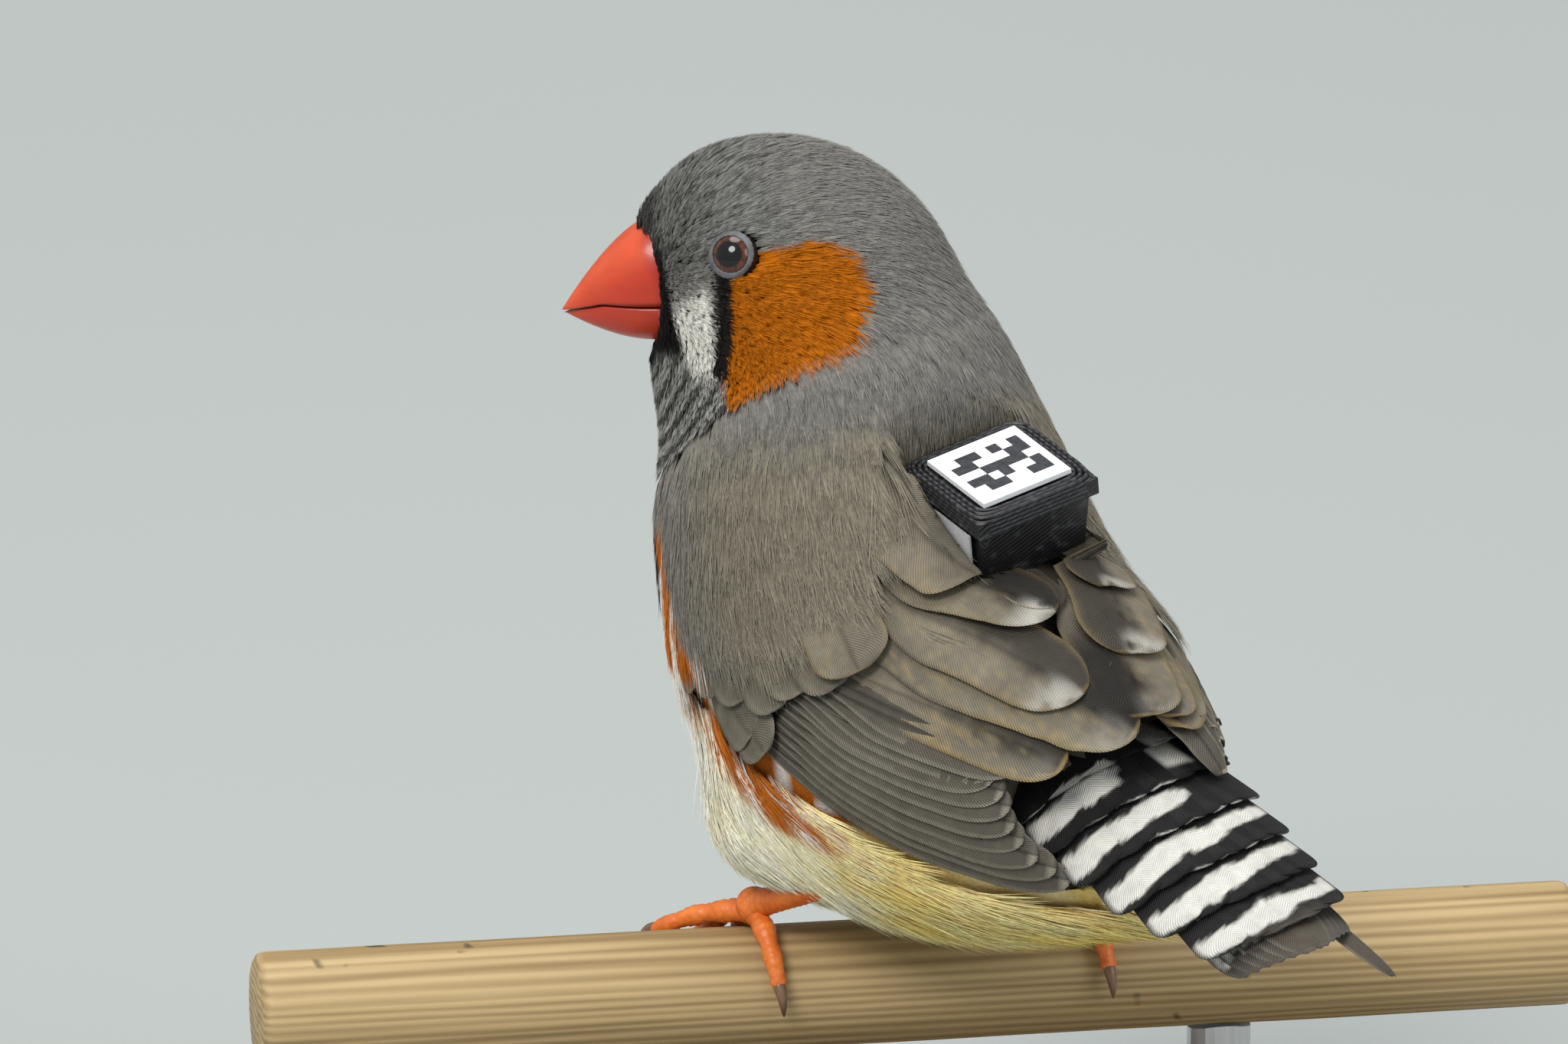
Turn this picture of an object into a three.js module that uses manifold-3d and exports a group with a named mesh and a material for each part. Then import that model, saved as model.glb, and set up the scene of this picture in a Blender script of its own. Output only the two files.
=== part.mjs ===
// Zebra finch, life size, perched on a short length of wooden dowel that a plain display stand holds.
// Millimetres, +Z up. The bird faces -Y, its left side is +X. The origin is the middle of the base's underside.
import * as THREE from 'three';
import { mergeVertices } from 'three/addons/utils/BufferGeometryUtils.js';
import Module from 'manifold-3d';

const wasm = await Module();
wasm.setup();

// Gap that touching pieces keep
const GAP = 0.3;

// Clean-up of joined surfaces: largest sliver taken out, how near two points touch, and how far they are drawn in
const SLIVER = 0.03;
const TOUCHING = 0.002;
const DRAWN_IN = 0.02;

// Perch and stand
const PERCH_RADIUS = 4.9;
const PERCH_LENGTH = 104;
const PERCH_ANGLE = THREE.MathUtils.degToRad(151.8);
const PERCH_AXIS_HEIGHT = 28;
const BASE_LENGTH = 92;
const BASE_WIDTH = 58;
const BASE_THICKNESS = 6;
const BASE_CORNER = 6;
const ROD_RADIUS = 2.5;
const ROD_OFFSET = 24;
const PERCH_TOP = PERCH_AXIS_HEIGHT + PERCH_RADIUS + 0.2;

// Trunk: places along its middle line, as distance forward of the feet, height over the perch and radius
const TRUNK = [
  { forward: 12, height: 46, radius: 11.2 },
  { forward: 10.5, height: 42, radius: 12.6 },
  { forward: 8.8, height: 37, radius: 14.6 },
  { forward: 7, height: 31, radius: 16.3 },
  { forward: 3.5, height: 24, radius: 17.5 },
  { forward: -3, height: 18.2, radius: 17.6 },
  { forward: -11, height: 17, radius: 15.6 },
  { forward: -19, height: 15.8, radius: 12 },
  { forward: -26, height: 14.2, radius: 8.2 },
  { forward: -32, height: 12.6, radius: 5 },
  { forward: -38, height: 11.9, radius: 2.4 },
];
const TRUNK_WIDTH = 1;
const TRUNK_STATIONS = 30;

// Head: its own axes start at the middle of the bill's base
const BILL_BASE = new THREE.Vector3(9.93, -19.45, PERCH_TOP + 49.1);
const HEAD_TURN = THREE.MathUtils.degToRad(52);
const HEAD_PITCH = THREE.MathUtils.degToRad(18.7);
const HEAD_BLOBS = [
  { forward: -8.6, left: 0, up: -2.6, radius: 11.1, width: 0.87 },
  { forward: -6.2, left: 0, up: 1.7, radius: 6.4, width: 1.05 },
  { forward: -3.4, left: 0, up: -8.2, radius: 6.2, width: 1 },
];
const HEAD_BLEND = 2.4;

// Thighs, as bulges of the flank
const THIGH = { side: 10.3, forward: 3.6, height: 10, radius: 6 };
const THIGH_CUT = 7.4;

// Bill
const BILL_LENGTH = 8.2;
const CULMEN_HEIGHT = 4.8;
const GONYS_DEPTH = 4.7;
const BILL_HALF_WIDTH = 3.9;
const BILL_ROOT = 1.6;
const GAPE_DROP = 1.45;

// Eyes
const EYE_RADIUS = 2.1;
const EYE_FORWARD = -6.4;
const EYE_UP = 2.4;
const EYE_BULGE = 0.55;
const LID_RADIUS = 1.9;
const LID_THICKNESS = 0.42;

// Legs
const FOOT_ALONG = { left: -12.9, right: 13.1 };
const TOE_RADIUS = 0.95;
const SHANK_RADIUS = 1.05;
const ANKLE_RADIUS = 1.5;
const FRONT_CLAW = 2.8;
const HIND_CLAW = 4;
const SHANK_RISE = THREE.MathUtils.degToRad(24);

// Tag on the back
const TAG_CENTRE = new THREE.Vector3(0, 9.9, PERCH_TOP + 38.9);
const TAG_FORWARD = new THREE.Vector3(-0.085, -0.979, 0.184);
const TAG_RIGHT = new THREE.Vector3(-0.971, 0.124, 0.205);
const TAG_SIZE = 10.9;
const TAG_PLATE = 1.4;
const TAG_LABEL = 8;
const TAG_LABEL_THICKNESS = 0.4;
const TAG_REAR_DEPTH = 5;
const TAG_FRONT_DEPTH = 1.2;

// Tail
const TAIL_BASE = { forward: -24, height: 21 };
const TAIL_SLOPE = THREE.MathUtils.degToRad(22.5);
const TAIL_ARCH = 13;
const TAIL_ROLL = THREE.MathUtils.degToRad(12);

// Recess in the trunk that the folded wings lie in
const WING_RECESS = 2.4;
const VANE_THICKNESS = 0.5;
const VANE_ROWS = 5;
const NARROW_VANE = 4.5;
const FLIGHT_FEATHERS = 7;
const GREATER_COVERTS = 4;
const MEDIAN_COVERTS = 3;
const TAIL_PAIRS = 5;
const TAIL_COVERT_ROWS = [
  { tip: 23.5, count: 3, spread: 17, width: 6, height: -0.2 },
  { tip: 17.5, count: 4, spread: 25, width: 6.5, height: 0 },
  { tip: 11.5, count: 3, spread: 22, width: 8, height: 0.2 },
];

const { degToRad, lerp, smoothstep, clamp } = THREE.MathUtils;
const vec = (x, y, z) => new THREE.Vector3(x, y, z);
const LEFT = vec(1, 0, 0);

// Middle line of the trunk, sampled at even steps, with the radius in w
function trunkStations() {
  const curve = new THREE.CatmullRomCurve3(TRUNK.map((s) => vec(0, -s.forward, PERCH_TOP + s.height)), false, 'centripetal');
  const radii = TRUNK.map((s) => s.radius);
  const rows = [];
  for (let i = 0; i <= TRUNK_STATIONS; i++) {
    const u = curve.getUtoTmapping(i / TRUNK_STATIONS);
    const place = Math.min(u * (TRUNK.length - 1), TRUNK.length - 1.0001);
    const k = Math.floor(place);
    const f = place - k;
    rows.push({ centre: curve.getPoint(u), radius: lerp(radii[k], radii[k + 1], f), tangent: curve.getTangent(u) });
  }
  return { rows, length: curve.getLength() };
}
const trunk = trunkStations();
const STATION_STEP = trunk.length / TRUNK_STATIONS;

// Frame of the trunk at a distance along its middle line: centre, and the way up out of the back
function trunkFrame(t) {
  const place = clamp(t / STATION_STEP, 0, TRUNK_STATIONS - 0.001);
  const k = Math.floor(place);
  const f = place - k;
  const centre = trunk.rows[k].centre.clone().lerp(trunk.rows[k + 1].centre, f);
  const tangent = trunk.rows[k].tangent.clone().lerp(trunk.rows[k + 1].tangent, f).normalize();
  return { centre, tangent, back: LEFT.clone().cross(tangent).normalize() };
}

// Distance to the trunk's sweep, with the place along it
function trunkDistance(p) {
  let best = Infinity;
  let along = 0;
  for (let k = 0; k < TRUNK_STATIONS; k++) {
    const a = trunk.rows[k];
    const b = trunk.rows[k + 1];
    const dy = b.centre.y - a.centre.y;
    const dz = b.centre.z - a.centre.z;
    const py = p.y - a.centre.y;
    const pz = p.z - a.centre.z;
    const u = clamp((py * dy + pz * dz) / (dy * dy + dz * dz), 0, 1);
    const d = Math.hypot(p.x / TRUNK_WIDTH, py - u * dy, pz - u * dz) - lerp(a.radius, b.radius, u);
    if (d < best) {
      best = d;
      along = (k + u) * STATION_STEP;
    }
  }
  return { distance: best, along };
}

function smoothMin(a, b, blend) {
  const h = clamp(0.5 + (0.5 * (b - a)) / blend, 0, 1);
  return lerp(b, a, h) - blend * h * (1 - h);
}

// Axes of the head, turned to the bird's left and pitched down
const headForward = vec(Math.sin(HEAD_TURN) * Math.cos(HEAD_PITCH), -Math.cos(HEAD_TURN) * Math.cos(HEAD_PITCH), -Math.sin(HEAD_PITCH));
const headLeft = vec(Math.cos(HEAD_TURN), Math.sin(HEAD_TURN), 0);
const headUp = headForward.clone().cross(headLeft);
const headPoint = (forward, left, up) => BILL_BASE.clone()
  .addScaledVector(headForward, forward).addScaledVector(headLeft, left).addScaledVector(headUp, up);

function headDistance(p) {
  const q = p.clone().sub(BILL_BASE);
  const forward = q.dot(headForward);
  const left = q.dot(headLeft);
  const up = q.dot(headUp);
  let d = Infinity;
  for (const blob of HEAD_BLOBS) {
    const part = Math.hypot(forward - blob.forward, (left - blob.left) / blob.width, up - blob.up) - blob.radius;
    d = d === Infinity ? part : smoothMin(d, part, HEAD_BLEND);
  }
  return d;
}

// Lower and front edges of the folded wing, in degrees round the trunk from the back and mm along it
const wingLowEdge = (t) => lerp(118, 101, smoothstep(t, 20, 34)) + 8 * smoothstep(t, 40, 52);
const wingFrontEdge = (degrees) => lerp(27, 17, smoothstep(degrees, 15, 80));

// How deep the wing's bed lies at a place on the trunk
function wingBed(t, degrees) {
  const side = Math.abs(degrees);
  const inside = smoothstep(wingLowEdge(t) + 4 - side, -8, 8);
  const behind = smoothstep(t - wingFrontEdge(side), -4, 3);
  const ahead = 1 - smoothstep(t, 48, 57);
  return WING_RECESS * inside * behind * ahead;
}

const thighCentre = (sign) => vec(sign * THIGH.side, -THIGH.forward, PERCH_TOP + THIGH.height);

// Distance to the whole feathered body, negative inside
function bodyDistance(p) {
  const near = trunkDistance(p);
  const frame = trunkFrame(near.along);
  const q = p.clone().sub(frame.centre);
  const degrees = THREE.MathUtils.radToDeg(Math.atan2(q.x, q.dot(frame.back)));
  let d = near.distance + wingBed(near.along, degrees);
  for (const sign of [-1, 1]) {
    d = smoothMin(d, p.distanceTo(thighCentre(sign)) - THIGH.radius, 3);
  }
  return smoothMin(d, headDistance(p), HEAD_BLEND * 1.6);
}

function slope(p) {
  const e = 0.15;
  const f = bodyDistance;
  return vec(
    f(vec(p.x + e, p.y, p.z)) - f(vec(p.x - e, p.y, p.z)),
    f(vec(p.x, p.y + e, p.z)) - f(vec(p.x, p.y - e, p.z)),
    f(vec(p.x, p.y, p.z + e)) - f(vec(p.x, p.y, p.z - e)),
  ).normalize();
}

// Moves a point to a height over the body
function settle(p, height, rounds = 3) {
  const q = p.clone();
  for (let i = 0; i < rounds; i++) {
    q.addScaledVector(slope(q), height - bodyDistance(q));
  }
  return q;
}

// Point at a place on the trunk: mm along it, degrees round it from the back, height over it
function onTrunk(t, degrees, height) {
  const frame = trunkFrame(t);
  const angle = degToRad(degrees);
  const way = frame.back.clone().multiplyScalar(Math.cos(angle)).addScaledVector(LEFT, Math.sin(angle));
  let low = 0.5;
  let high = 26;
  for (let i = 0; i < 14; i++) {
    const middle = (low + high) / 2;
    if (bodyDistance(frame.centre.clone().addScaledVector(way, middle)) < height) {
      low = middle;
    } else {
      high = middle;
    }
  }
  return frame.centre.clone().addScaledVector(way, (low + high) / 2);
}

// Closed geometry from points and triangles
function geometryOf(points, faces) {
  const geometry = new THREE.BufferGeometry();
  geometry.setAttribute('position', new THREE.Float32BufferAttribute(points.flatMap((p) => [p.x, p.y, p.z]), 3));
  geometry.setIndex(faces.flat());
  return geometry;
}

function solidOf(geometry, tolerance = 1e-4) {
  const bare = geometry.clone();
  bare.deleteAttribute('normal');
  bare.deleteAttribute('uv');
  const merged = mergeVertices(bare, tolerance);
  const triVerts = new Uint32Array(merged.index.array);
  const vertProperties = new Float32Array(merged.attributes.position.array);
  const solid = new wasm.Manifold(new wasm.Mesh({ numProp: 3, vertProperties, triVerts }));
  if (solid.volume() >= 0) {
    return solid;
  }
  for (let i = 0; i < triVerts.length; i += 3) {
    const kept = triVerts[i];
    triVerts[i] = triVerts[i + 1];
    triVerts[i + 1] = kept;
  }
  return new wasm.Manifold(new wasm.Mesh({ numProp: 3, vertProperties, triVerts }));
}

const placed = (geometry, matrix) => solidOf(geometry.clone().applyMatrix4(matrix));
const unite = (solids) => wasm.Manifold.union(solids);

function geometryFrom(solid) {
  const mesh = solid.getMesh();
  const geometry = new THREE.BufferGeometry();
  geometry.setAttribute('position', new THREE.Float32BufferAttribute(mesh.vertProperties, 3));
  geometry.setIndex(new THREE.Uint32BufferAttribute(mesh.triVerts, 1));
  return geometry;
}

// The largest closed surface of a solid, without its slivers
function largest(solid) {
  const shells = solid.simplify(SLIVER).decompose();
  return parted(shells.sort((a, b) => b.volume() - a.volume())[0]);
}

// Where a surface touches itself, its points are drawn in a little, so that the two sides part
function parted(solid) {
  const geometry = geometryFrom(solid);
  const points = geometry.attributes.position;
  const index = geometry.index.array;
  const at = (i) => vec(points.getX(i), points.getY(i), points.getZ(i));
  const normals = Array.from({ length: points.count }, () => vec(0, 0, 0));
  for (let i = 0; i < index.length; i += 3) {
    const [a, b, c] = [0, 1, 2].map((k) => at(index[i + k]));
    const normal = b.sub(a).cross(c.sub(a));
    [0, 1, 2].forEach((k) => normals[index[i + k]].add(normal));
  }
  const byPlace = new Map();
  for (let i = 0; i < points.count; i++) {
    const key = at(i).toArray().map((x) => Math.round(x / TOUCHING)).join();
    byPlace.set(key, [...(byPlace.get(key) ?? []), i]);
  }
  for (const touching of byPlace.values()) {
    if (touching.length > 1) {
      for (const i of touching) {
        points.setXYZ(i, ...at(i).addScaledVector(normals[i].normalize(), -DRAWN_IN).toArray());
      }
    }
  }
  const vertProperties = new Float32Array(points.array);
  return new wasm.Manifold(new wasm.Mesh({ numProp: 3, vertProperties, triVerts: new Uint32Array(index) }));
}

// Surface of a field by one vertex for each cell that the surface crosses, moved onto the surface
function fieldSolid(field, low, high, step) {
  const counts = [high.x - low.x, high.y - low.y, high.z - low.z].map((size) => Math.ceil(size / step));
  const [nx, ny, nz] = counts;
  const values = new Float32Array((nx + 1) * (ny + 1) * (nz + 1));
  const at = (i, j, k) => (i * (ny + 1) + j) * (nz + 1) + k;
  const corner = (i, j, k) => vec(low.x + i * step, low.y + j * step, low.z + k * step);
  for (let i = 0; i <= nx; i++) {
    for (let j = 0; j <= ny; j++) {
      for (let k = 0; k <= nz; k++) {
        values[at(i, j, k)] = field(corner(i, j, k));
      }
    }
  }
  const points = [];
  const faces = [];
  const vertexAt = new Map();
  const cellVertex = (i, j, k) => {
    const key = at(i, j, k);
    if (vertexAt.has(key)) {
      return vertexAt.get(key);
    }
    const sum = vec(0, 0, 0);
    let crossings = 0;
    for (let a = 0; a < 8; a++) {
      for (let axis = 0; axis < 3; axis++) {
        const bit = 1 << axis;
        if (a & bit) {
          continue;
        }
        const b = a | bit;
        const one = [i + (a & 1), j + ((a >> 1) & 1), k + ((a >> 2) & 1)];
        const two = [i + (b & 1), j + ((b >> 1) & 1), k + ((b >> 2) & 1)];
        const va = values[at(...one)];
        const vb = values[at(...two)];
        if (va < 0 !== vb < 0) {
          sum.add(corner(...one).lerp(corner(...two), va / (va - vb)));
          crossings += 1;
        }
      }
    }
    points.push(settle(sum.divideScalar(crossings), 0, 2));
    vertexAt.set(key, points.length - 1);
    return points.length - 1;
  };
  const quad = (a, b, c, d, flip) => {
    const [p, q, r, s] = flip ? [a, d, c, b] : [a, b, c, d];
    if (points[p].distanceToSquared(points[r]) < points[q].distanceToSquared(points[s])) {
      faces.push([p, q, r], [p, r, s]);
    } else {
      faces.push([p, q, s], [q, r, s]);
    }
  };
  for (let i = 1; i < nx; i++) {
    for (let j = 1; j < ny; j++) {
      for (let k = 1; k < nz; k++) {
        const here = values[at(i, j, k)] < 0;
        if (here !== values[at(i + 1, j, k)] < 0) {
          quad(cellVertex(i, j - 1, k - 1), cellVertex(i, j, k - 1), cellVertex(i, j, k), cellVertex(i, j - 1, k), !here);
        }
        if (here !== values[at(i, j + 1, k)] < 0) {
          quad(cellVertex(i - 1, j, k - 1), cellVertex(i - 1, j, k), cellVertex(i, j, k), cellVertex(i, j, k - 1), !here);
        }
        if (here !== values[at(i, j, k + 1)] < 0) {
          quad(cellVertex(i - 1, j - 1, k), cellVertex(i, j - 1, k), cellVertex(i, j, k), cellVertex(i - 1, j, k), !here);
        }
      }
    }
  }
  return solidOf(geometryOf(points, faces));
}

// Closed sheet between two grids of points, split into triangles alike on both faces
function sheetSolid(rows, columns, topAt, bottomAt) {
  const points = [];
  const faces = [];
  for (const at of [topAt, bottomAt]) {
    for (let i = 0; i < rows; i++) {
      for (let j = 0; j < columns; j++) {
        points.push(at(i / (rows - 1), (2 * j) / (columns - 1) - 1));
      }
    }
  }
  const top = (i, j) => i * columns + j;
  const bottom = (i, j) => rows * columns + top(i, j);
  for (let i = 0; i < rows - 1; i++) {
    for (let j = 0; j < columns - 1; j++) {
      faces.push([top(i, j), top(i + 1, j), top(i + 1, j + 1)], [top(i, j), top(i + 1, j + 1), top(i, j + 1)]);
      faces.push([bottom(i, j), bottom(i + 1, j + 1), bottom(i + 1, j)]);
      faces.push([bottom(i, j), bottom(i, j + 1), bottom(i + 1, j + 1)]);
    }
  }
  const wall = (a, b, c, d) => faces.push([a, c, b], [b, c, d]);
  for (let i = 0; i < rows - 1; i++) {
    wall(top(i, 0), top(i + 1, 0), bottom(i, 0), bottom(i + 1, 0));
    wall(top(i + 1, columns - 1), top(i, columns - 1), bottom(i + 1, columns - 1), bottom(i, columns - 1));
  }
  for (let j = 0; j < columns - 1; j++) {
    wall(top(0, j + 1), top(0, j), bottom(0, j + 1), bottom(0, j));
    wall(top(rows - 1, j), top(rows - 1, j + 1), bottom(rows - 1, j), bottom(rows - 1, j + 1));
  }
  return solidOf(geometryOf(points, faces));
}

// Tube through points with a radius at each, closed at both ends
function taperedTube(points, radii, sides) {
  const all = [];
  const faces = [];
  const last = points.length - 1;
  let across = null;
  points.forEach((p, i) => {
    const ahead = points[Math.min(i + 1, last)].clone().sub(points[Math.max(i - 1, 0)]).normalize();
    across = across ?? vec(ahead.y, -ahead.x, 0.3).normalize();
    across.addScaledVector(ahead, -across.dot(ahead)).normalize();
    const third = ahead.clone().cross(across);
    for (let k = 0; k < sides; k++) {
      const angle = (2 * Math.PI * k) / sides;
      all.push(p.clone().addScaledVector(across, radii[i] * Math.cos(angle)).addScaledVector(third, radii[i] * Math.sin(angle)));
    }
  });
  all.push(points[0].clone(), points[last].clone());
  for (let i = 0; i < last; i++) {
    for (let k = 0; k < sides; k++) {
      const a = i * sides + k;
      const b = i * sides + ((k + 1) % sides);
      faces.push([a, b, b + sides], [a, b + sides, a + sides]);
    }
  }
  for (let k = 0; k < sides; k++) {
    const next = (k + 1) % sides;
    faces.push([all.length - 2, next, k], [all.length - 1, last * sides + k, last * sides + next]);
  }
  return solidOf(geometryOf(all, faces));
}

// Everything on one side of a plane, as a large block
function halfSpace(point, direction) {
  const size = 240;
  const turn = new THREE.Quaternion().setFromUnitVectors(vec(0, 0, 1), direction.clone().normalize());
  const centre = point.clone().addScaledVector(direction.clone().normalize(), size / 2);
  return placed(new THREE.BoxGeometry(size, size, size), new THREE.Matrix4().compose(centre, turn, vec(1, 1, 1)));
}

const ball = (centre, radius, detail) => placed(new THREE.IcosahedronGeometry(radius, detail), new THREE.Matrix4().setPosition(centre));

// Bill: its height, depth and half width at a distance forward of its base
const culmen = (f) => CULMEN_HEIGHT * (1 - Math.abs(f / BILL_LENGTH) ** 1.6);
const gonys = (f) => -GONYS_DEPTH * (1 - Math.abs(f / BILL_LENGTH) ** 1.9);
const billWidth = (f) => BILL_HALF_WIDTH * (1 - Math.abs(f / BILL_LENGTH) ** 1.5);

function billSolid(back, margin) {
  const steps = [-back, 0, 1.8, 3.6, 5.4, 6.9, 7.8, BILL_LENGTH];
  const sides = 14;
  const points = [];
  const faces = [];
  steps.forEach((f) => {
    const g = Math.max(f, 0);
    const middle = (culmen(g) + gonys(g)) / 2;
    const half = (culmen(g) - gonys(g)) / 2 + margin;
    for (let k = 0; k < sides; k++) {
      const angle = (2 * Math.PI * k) / sides;
      const squared = Math.sign(Math.sin(angle)) * Math.abs(Math.sin(angle)) ** 0.85;
      points.push(headPoint(f, (billWidth(g) + margin + 0.05) * squared, middle + (half + 0.05) * Math.cos(angle)));
    }
  });
  points.push(headPoint(-back, 0, 0), headPoint(BILL_LENGTH + margin, 0, 0));
  for (let i = 0; i < steps.length - 1; i++) {
    for (let k = 0; k < sides; k++) {
      const a = i * sides + k;
      const b = i * sides + ((k + 1) % sides);
      faces.push([a, b, b + sides], [a, b + sides, a + sides]);
    }
  }
  const last = (steps.length - 1) * sides;
  for (let k = 0; k < sides; k++) {
    const next = (k + 1) % sides;
    faces.push([points.length - 2, next, k], [points.length - 1, last + k, last + next]);
  }
  return solidOf(geometryOf(points, faces));
}

// Thin bent slab along the line of the mouth
function mouthCut() {
  const line = [[-4, -2.2], [0, -GAPE_DROP], [2.6, -0.75], [4.9, -0.1], [BILL_LENGTH + 2, -0.1]];
  return sheetSolid(line.length, 2,
    (u, v) => mouthPoint(line, u, v, GAP / 2),
    (u, v) => mouthPoint(line, u, v, -GAP / 2));
}
function mouthPoint(line, u, v, lift) {
  const [forward, up] = line[Math.round(u * (line.length - 1))];
  return headPoint(forward, v * 8, up + lift);
}

// Eyes: centre, and the way they look
function eyePlace(sign) {
  let low = 2;
  let high = 16;
  for (let i = 0; i < 20; i++) {
    const middle = (low + high) / 2;
    if (bodyDistance(headPoint(EYE_FORWARD, sign * middle, EYE_UP)) < 0) {
      low = middle;
    } else {
      high = middle;
    }
  }
  const surface = headPoint(EYE_FORWARD, sign * low, EYE_UP);
  const out = slope(surface);
  return { centre: surface.addScaledVector(out, EYE_BULGE - EYE_RADIUS), out };
}

function lidSolid(sign) {
  const { centre, out } = eyePlace(sign);
  const turn = new THREE.Quaternion().setFromUnitVectors(vec(0, 0, 1), out);
  const seat = centre.clone().addScaledVector(out, 1.25);
  return placed(new THREE.TorusGeometry(LID_RADIUS, LID_THICKNESS, 5, 16), new THREE.Matrix4().compose(seat, turn, vec(1, 1, 1)));
}

// Tag: solids in its own axes, x to the bird's right, y forward, z out of the back
const tagUp = TAG_RIGHT.clone().cross(TAG_FORWARD).normalize();
const tagMatrix = new THREE.Matrix4().makeBasis(TAG_RIGHT.clone().normalize(), tagUp.clone().cross(TAG_RIGHT).normalize(), tagUp)
  .setPosition(TAG_CENTRE);

function tagPlateSolid() {
  const geometry = new THREE.BoxGeometry(TAG_SIZE, TAG_SIZE, TAG_PLATE);
  geometry.translate(0, 0, -TAG_LABEL_THICKNESS / 2 - GAP - TAG_PLATE / 2);
  return placed(geometry, tagMatrix);
}
function tagLabelSolid() {
  return placed(new THREE.BoxGeometry(TAG_LABEL, TAG_LABEL, TAG_LABEL_THICKNESS), tagMatrix);
}
function tagHousingSolid(margin) {
  const half = TAG_SIZE / 2 - 0.4 + margin;
  const top = -TAG_LABEL_THICKNESS / 2 - 2 * GAP - TAG_PLATE + margin;
  const outline = new THREE.Shape([
    new THREE.Vector2(half, top),
    new THREE.Vector2(-half, top),
    new THREE.Vector2(-half + 1.2, top - TAG_REAR_DEPTH - margin * 2),
    new THREE.Vector2(half, top - TAG_FRONT_DEPTH - margin * 2),
  ]);
  const geometry = new THREE.ExtrudeGeometry(outline, { depth: 2 * half - 0.6, bevelEnabled: false });
  geometry.translate(0, 0, -half + 0.3);
  geometry.rotateX(Math.PI / 2);
  geometry.rotateZ(Math.PI / 2);
  return placed(geometry, tagMatrix);
}

// Room that the feathers leave for the tag
function tagRoomSolid() {
  const height = 3.4;
  const geometry = new THREE.BoxGeometry(TAG_SIZE + 2 * GAP, TAG_SIZE + 2 * GAP, height);
  geometry.translate(0, 0, height / 2 - TAG_LABEL_THICKNESS / 2 - 2 * GAP - TAG_PLATE);
  return unite([tagHousingSolid(GAP), placed(geometry, tagMatrix)]);
}
const tagRoom = tagRoomSolid();

// Perch and stand
const perchTurn = new THREE.Matrix4().makeRotationZ(PERCH_ANGLE);
function perchSolid(radius, length, sides) {
  const geometry = new THREE.CylinderGeometry(radius, radius, length, sides);
  geometry.rotateZ(Math.PI / 2);
  geometry.rotateX(Math.PI / sides);
  geometry.translate(0, 0, PERCH_AXIS_HEIGHT);
  return placed(geometry, perchTurn);
}
function baseSolid() {
  const x = BASE_LENGTH / 2 - BASE_CORNER;
  const y = BASE_WIDTH / 2 - BASE_CORNER;
  const outline = new THREE.Shape();
  outline.absarc(x, y, BASE_CORNER, 0, Math.PI / 2);
  outline.absarc(-x, y, BASE_CORNER, Math.PI / 2, Math.PI);
  outline.absarc(-x, -y, BASE_CORNER, Math.PI, 1.5 * Math.PI);
  outline.absarc(x, -y, BASE_CORNER, 1.5 * Math.PI, 2 * Math.PI);
  outline.closePath();
  const geometry = new THREE.ExtrudeGeometry(outline, {
    depth: BASE_THICKNESS - 1, bevelEnabled: true, bevelThickness: 0.5, bevelSize: 0.5, bevelOffset: -0.5, bevelSegments: 1, curveSegments: 3,
  });
  geometry.translate(0, 0, 0.5);
  return placed(geometry, perchTurn);
}
function rodSolid(offset) {
  const height = PERCH_AXIS_HEIGHT - BASE_THICKNESS - GAP;
  const geometry = new THREE.CylinderGeometry(ROD_RADIUS, ROD_RADIUS, height, 20);
  geometry.rotateX(Math.PI / 2);
  geometry.translate(offset, 0, BASE_THICKNESS + GAP + height / 2);
  return placed(geometry, perchTurn).subtract(perchSolid(PERCH_RADIUS + GAP, PERCH_LENGTH, 40));
}

// Feet: a point on the perch's surface, from the distance along it and the angle round it
function roundPerch(along, angle, lift) {
  const radius = PERCH_RADIUS + GAP + lift;
  return vec(along, -radius * Math.sin(angle), PERCH_AXIS_HEIGHT + radius * Math.cos(angle)).applyMatrix4(perchTurn);
}
function toeSolid(along, [length, skewDegrees, way], margin) {
  const skew = degToRad(skewDegrees);
  const claw = way > 0 ? HIND_CLAW : FRONT_CLAW;
  const steps = 6;
  const points = [];
  const radii = [];
  const whole = length + claw;
  for (let i = 0; i <= steps; i++) {
    const travel = (whole * i) / steps;
    const onClaw = Math.max(0, travel - length) / claw;
    const radius = lerp(TOE_RADIUS, 0.62, Math.min(travel / length, 1)) * (1 - 0.8 * onClaw);
    const angle = (way * travel * Math.cos(skew)) / (PERCH_RADIUS + TOE_RADIUS);
    points.push(roundPerch(along + travel * Math.sin(skew), angle, radius));
    radii.push(radius + margin);
  }
  return taperedTube(points, radii, 6);
}
// Toes of each foot: length, turn from straight across the perch, and way round it, 1 for the hind toe
const TOES = {
  left: [[7.5, -3, -1], [10.5, -28, -1], [7.5, -53, -1], [6, 8, 1]],
  right: [[7.5, -53, -1], [10.5, -28, -1], [7.5, -3, -1], [6, 8, 1]],
};
const anklePlace = (side) => roundPerch(FOOT_ALONG[side], 0, ANKLE_RADIUS + 0.05);
const footParts = (side, margin) => [
  ball(anklePlace(side), ANKLE_RADIUS + margin, 1), ...TOES[side].map((toe) => toeSolid(FOOT_ALONG[side], toe, margin)),
];
function shankSolid(side) {
  const from = anklePlace(side);
  const way = vec(0, Math.cos(SHANK_RISE), Math.sin(SHANK_RISE));
  let reach = 0;
  while (reach < 12 && bodyDistance(from.clone().addScaledVector(way, reach)) > GAP + 0.15) {
    reach += 0.05;
  }
  const end = from.clone().addScaledVector(way, reach);
  const tube = taperedTube([from, from.clone().addScaledVector(way, reach + 4)], [SHANK_RADIUS, SHANK_RADIUS], 9);
  return largest(tube.subtract(unite(footParts(side, GAP + 0.05))).subtract(halfSpace(end, slope(end).negate())));
}

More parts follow.
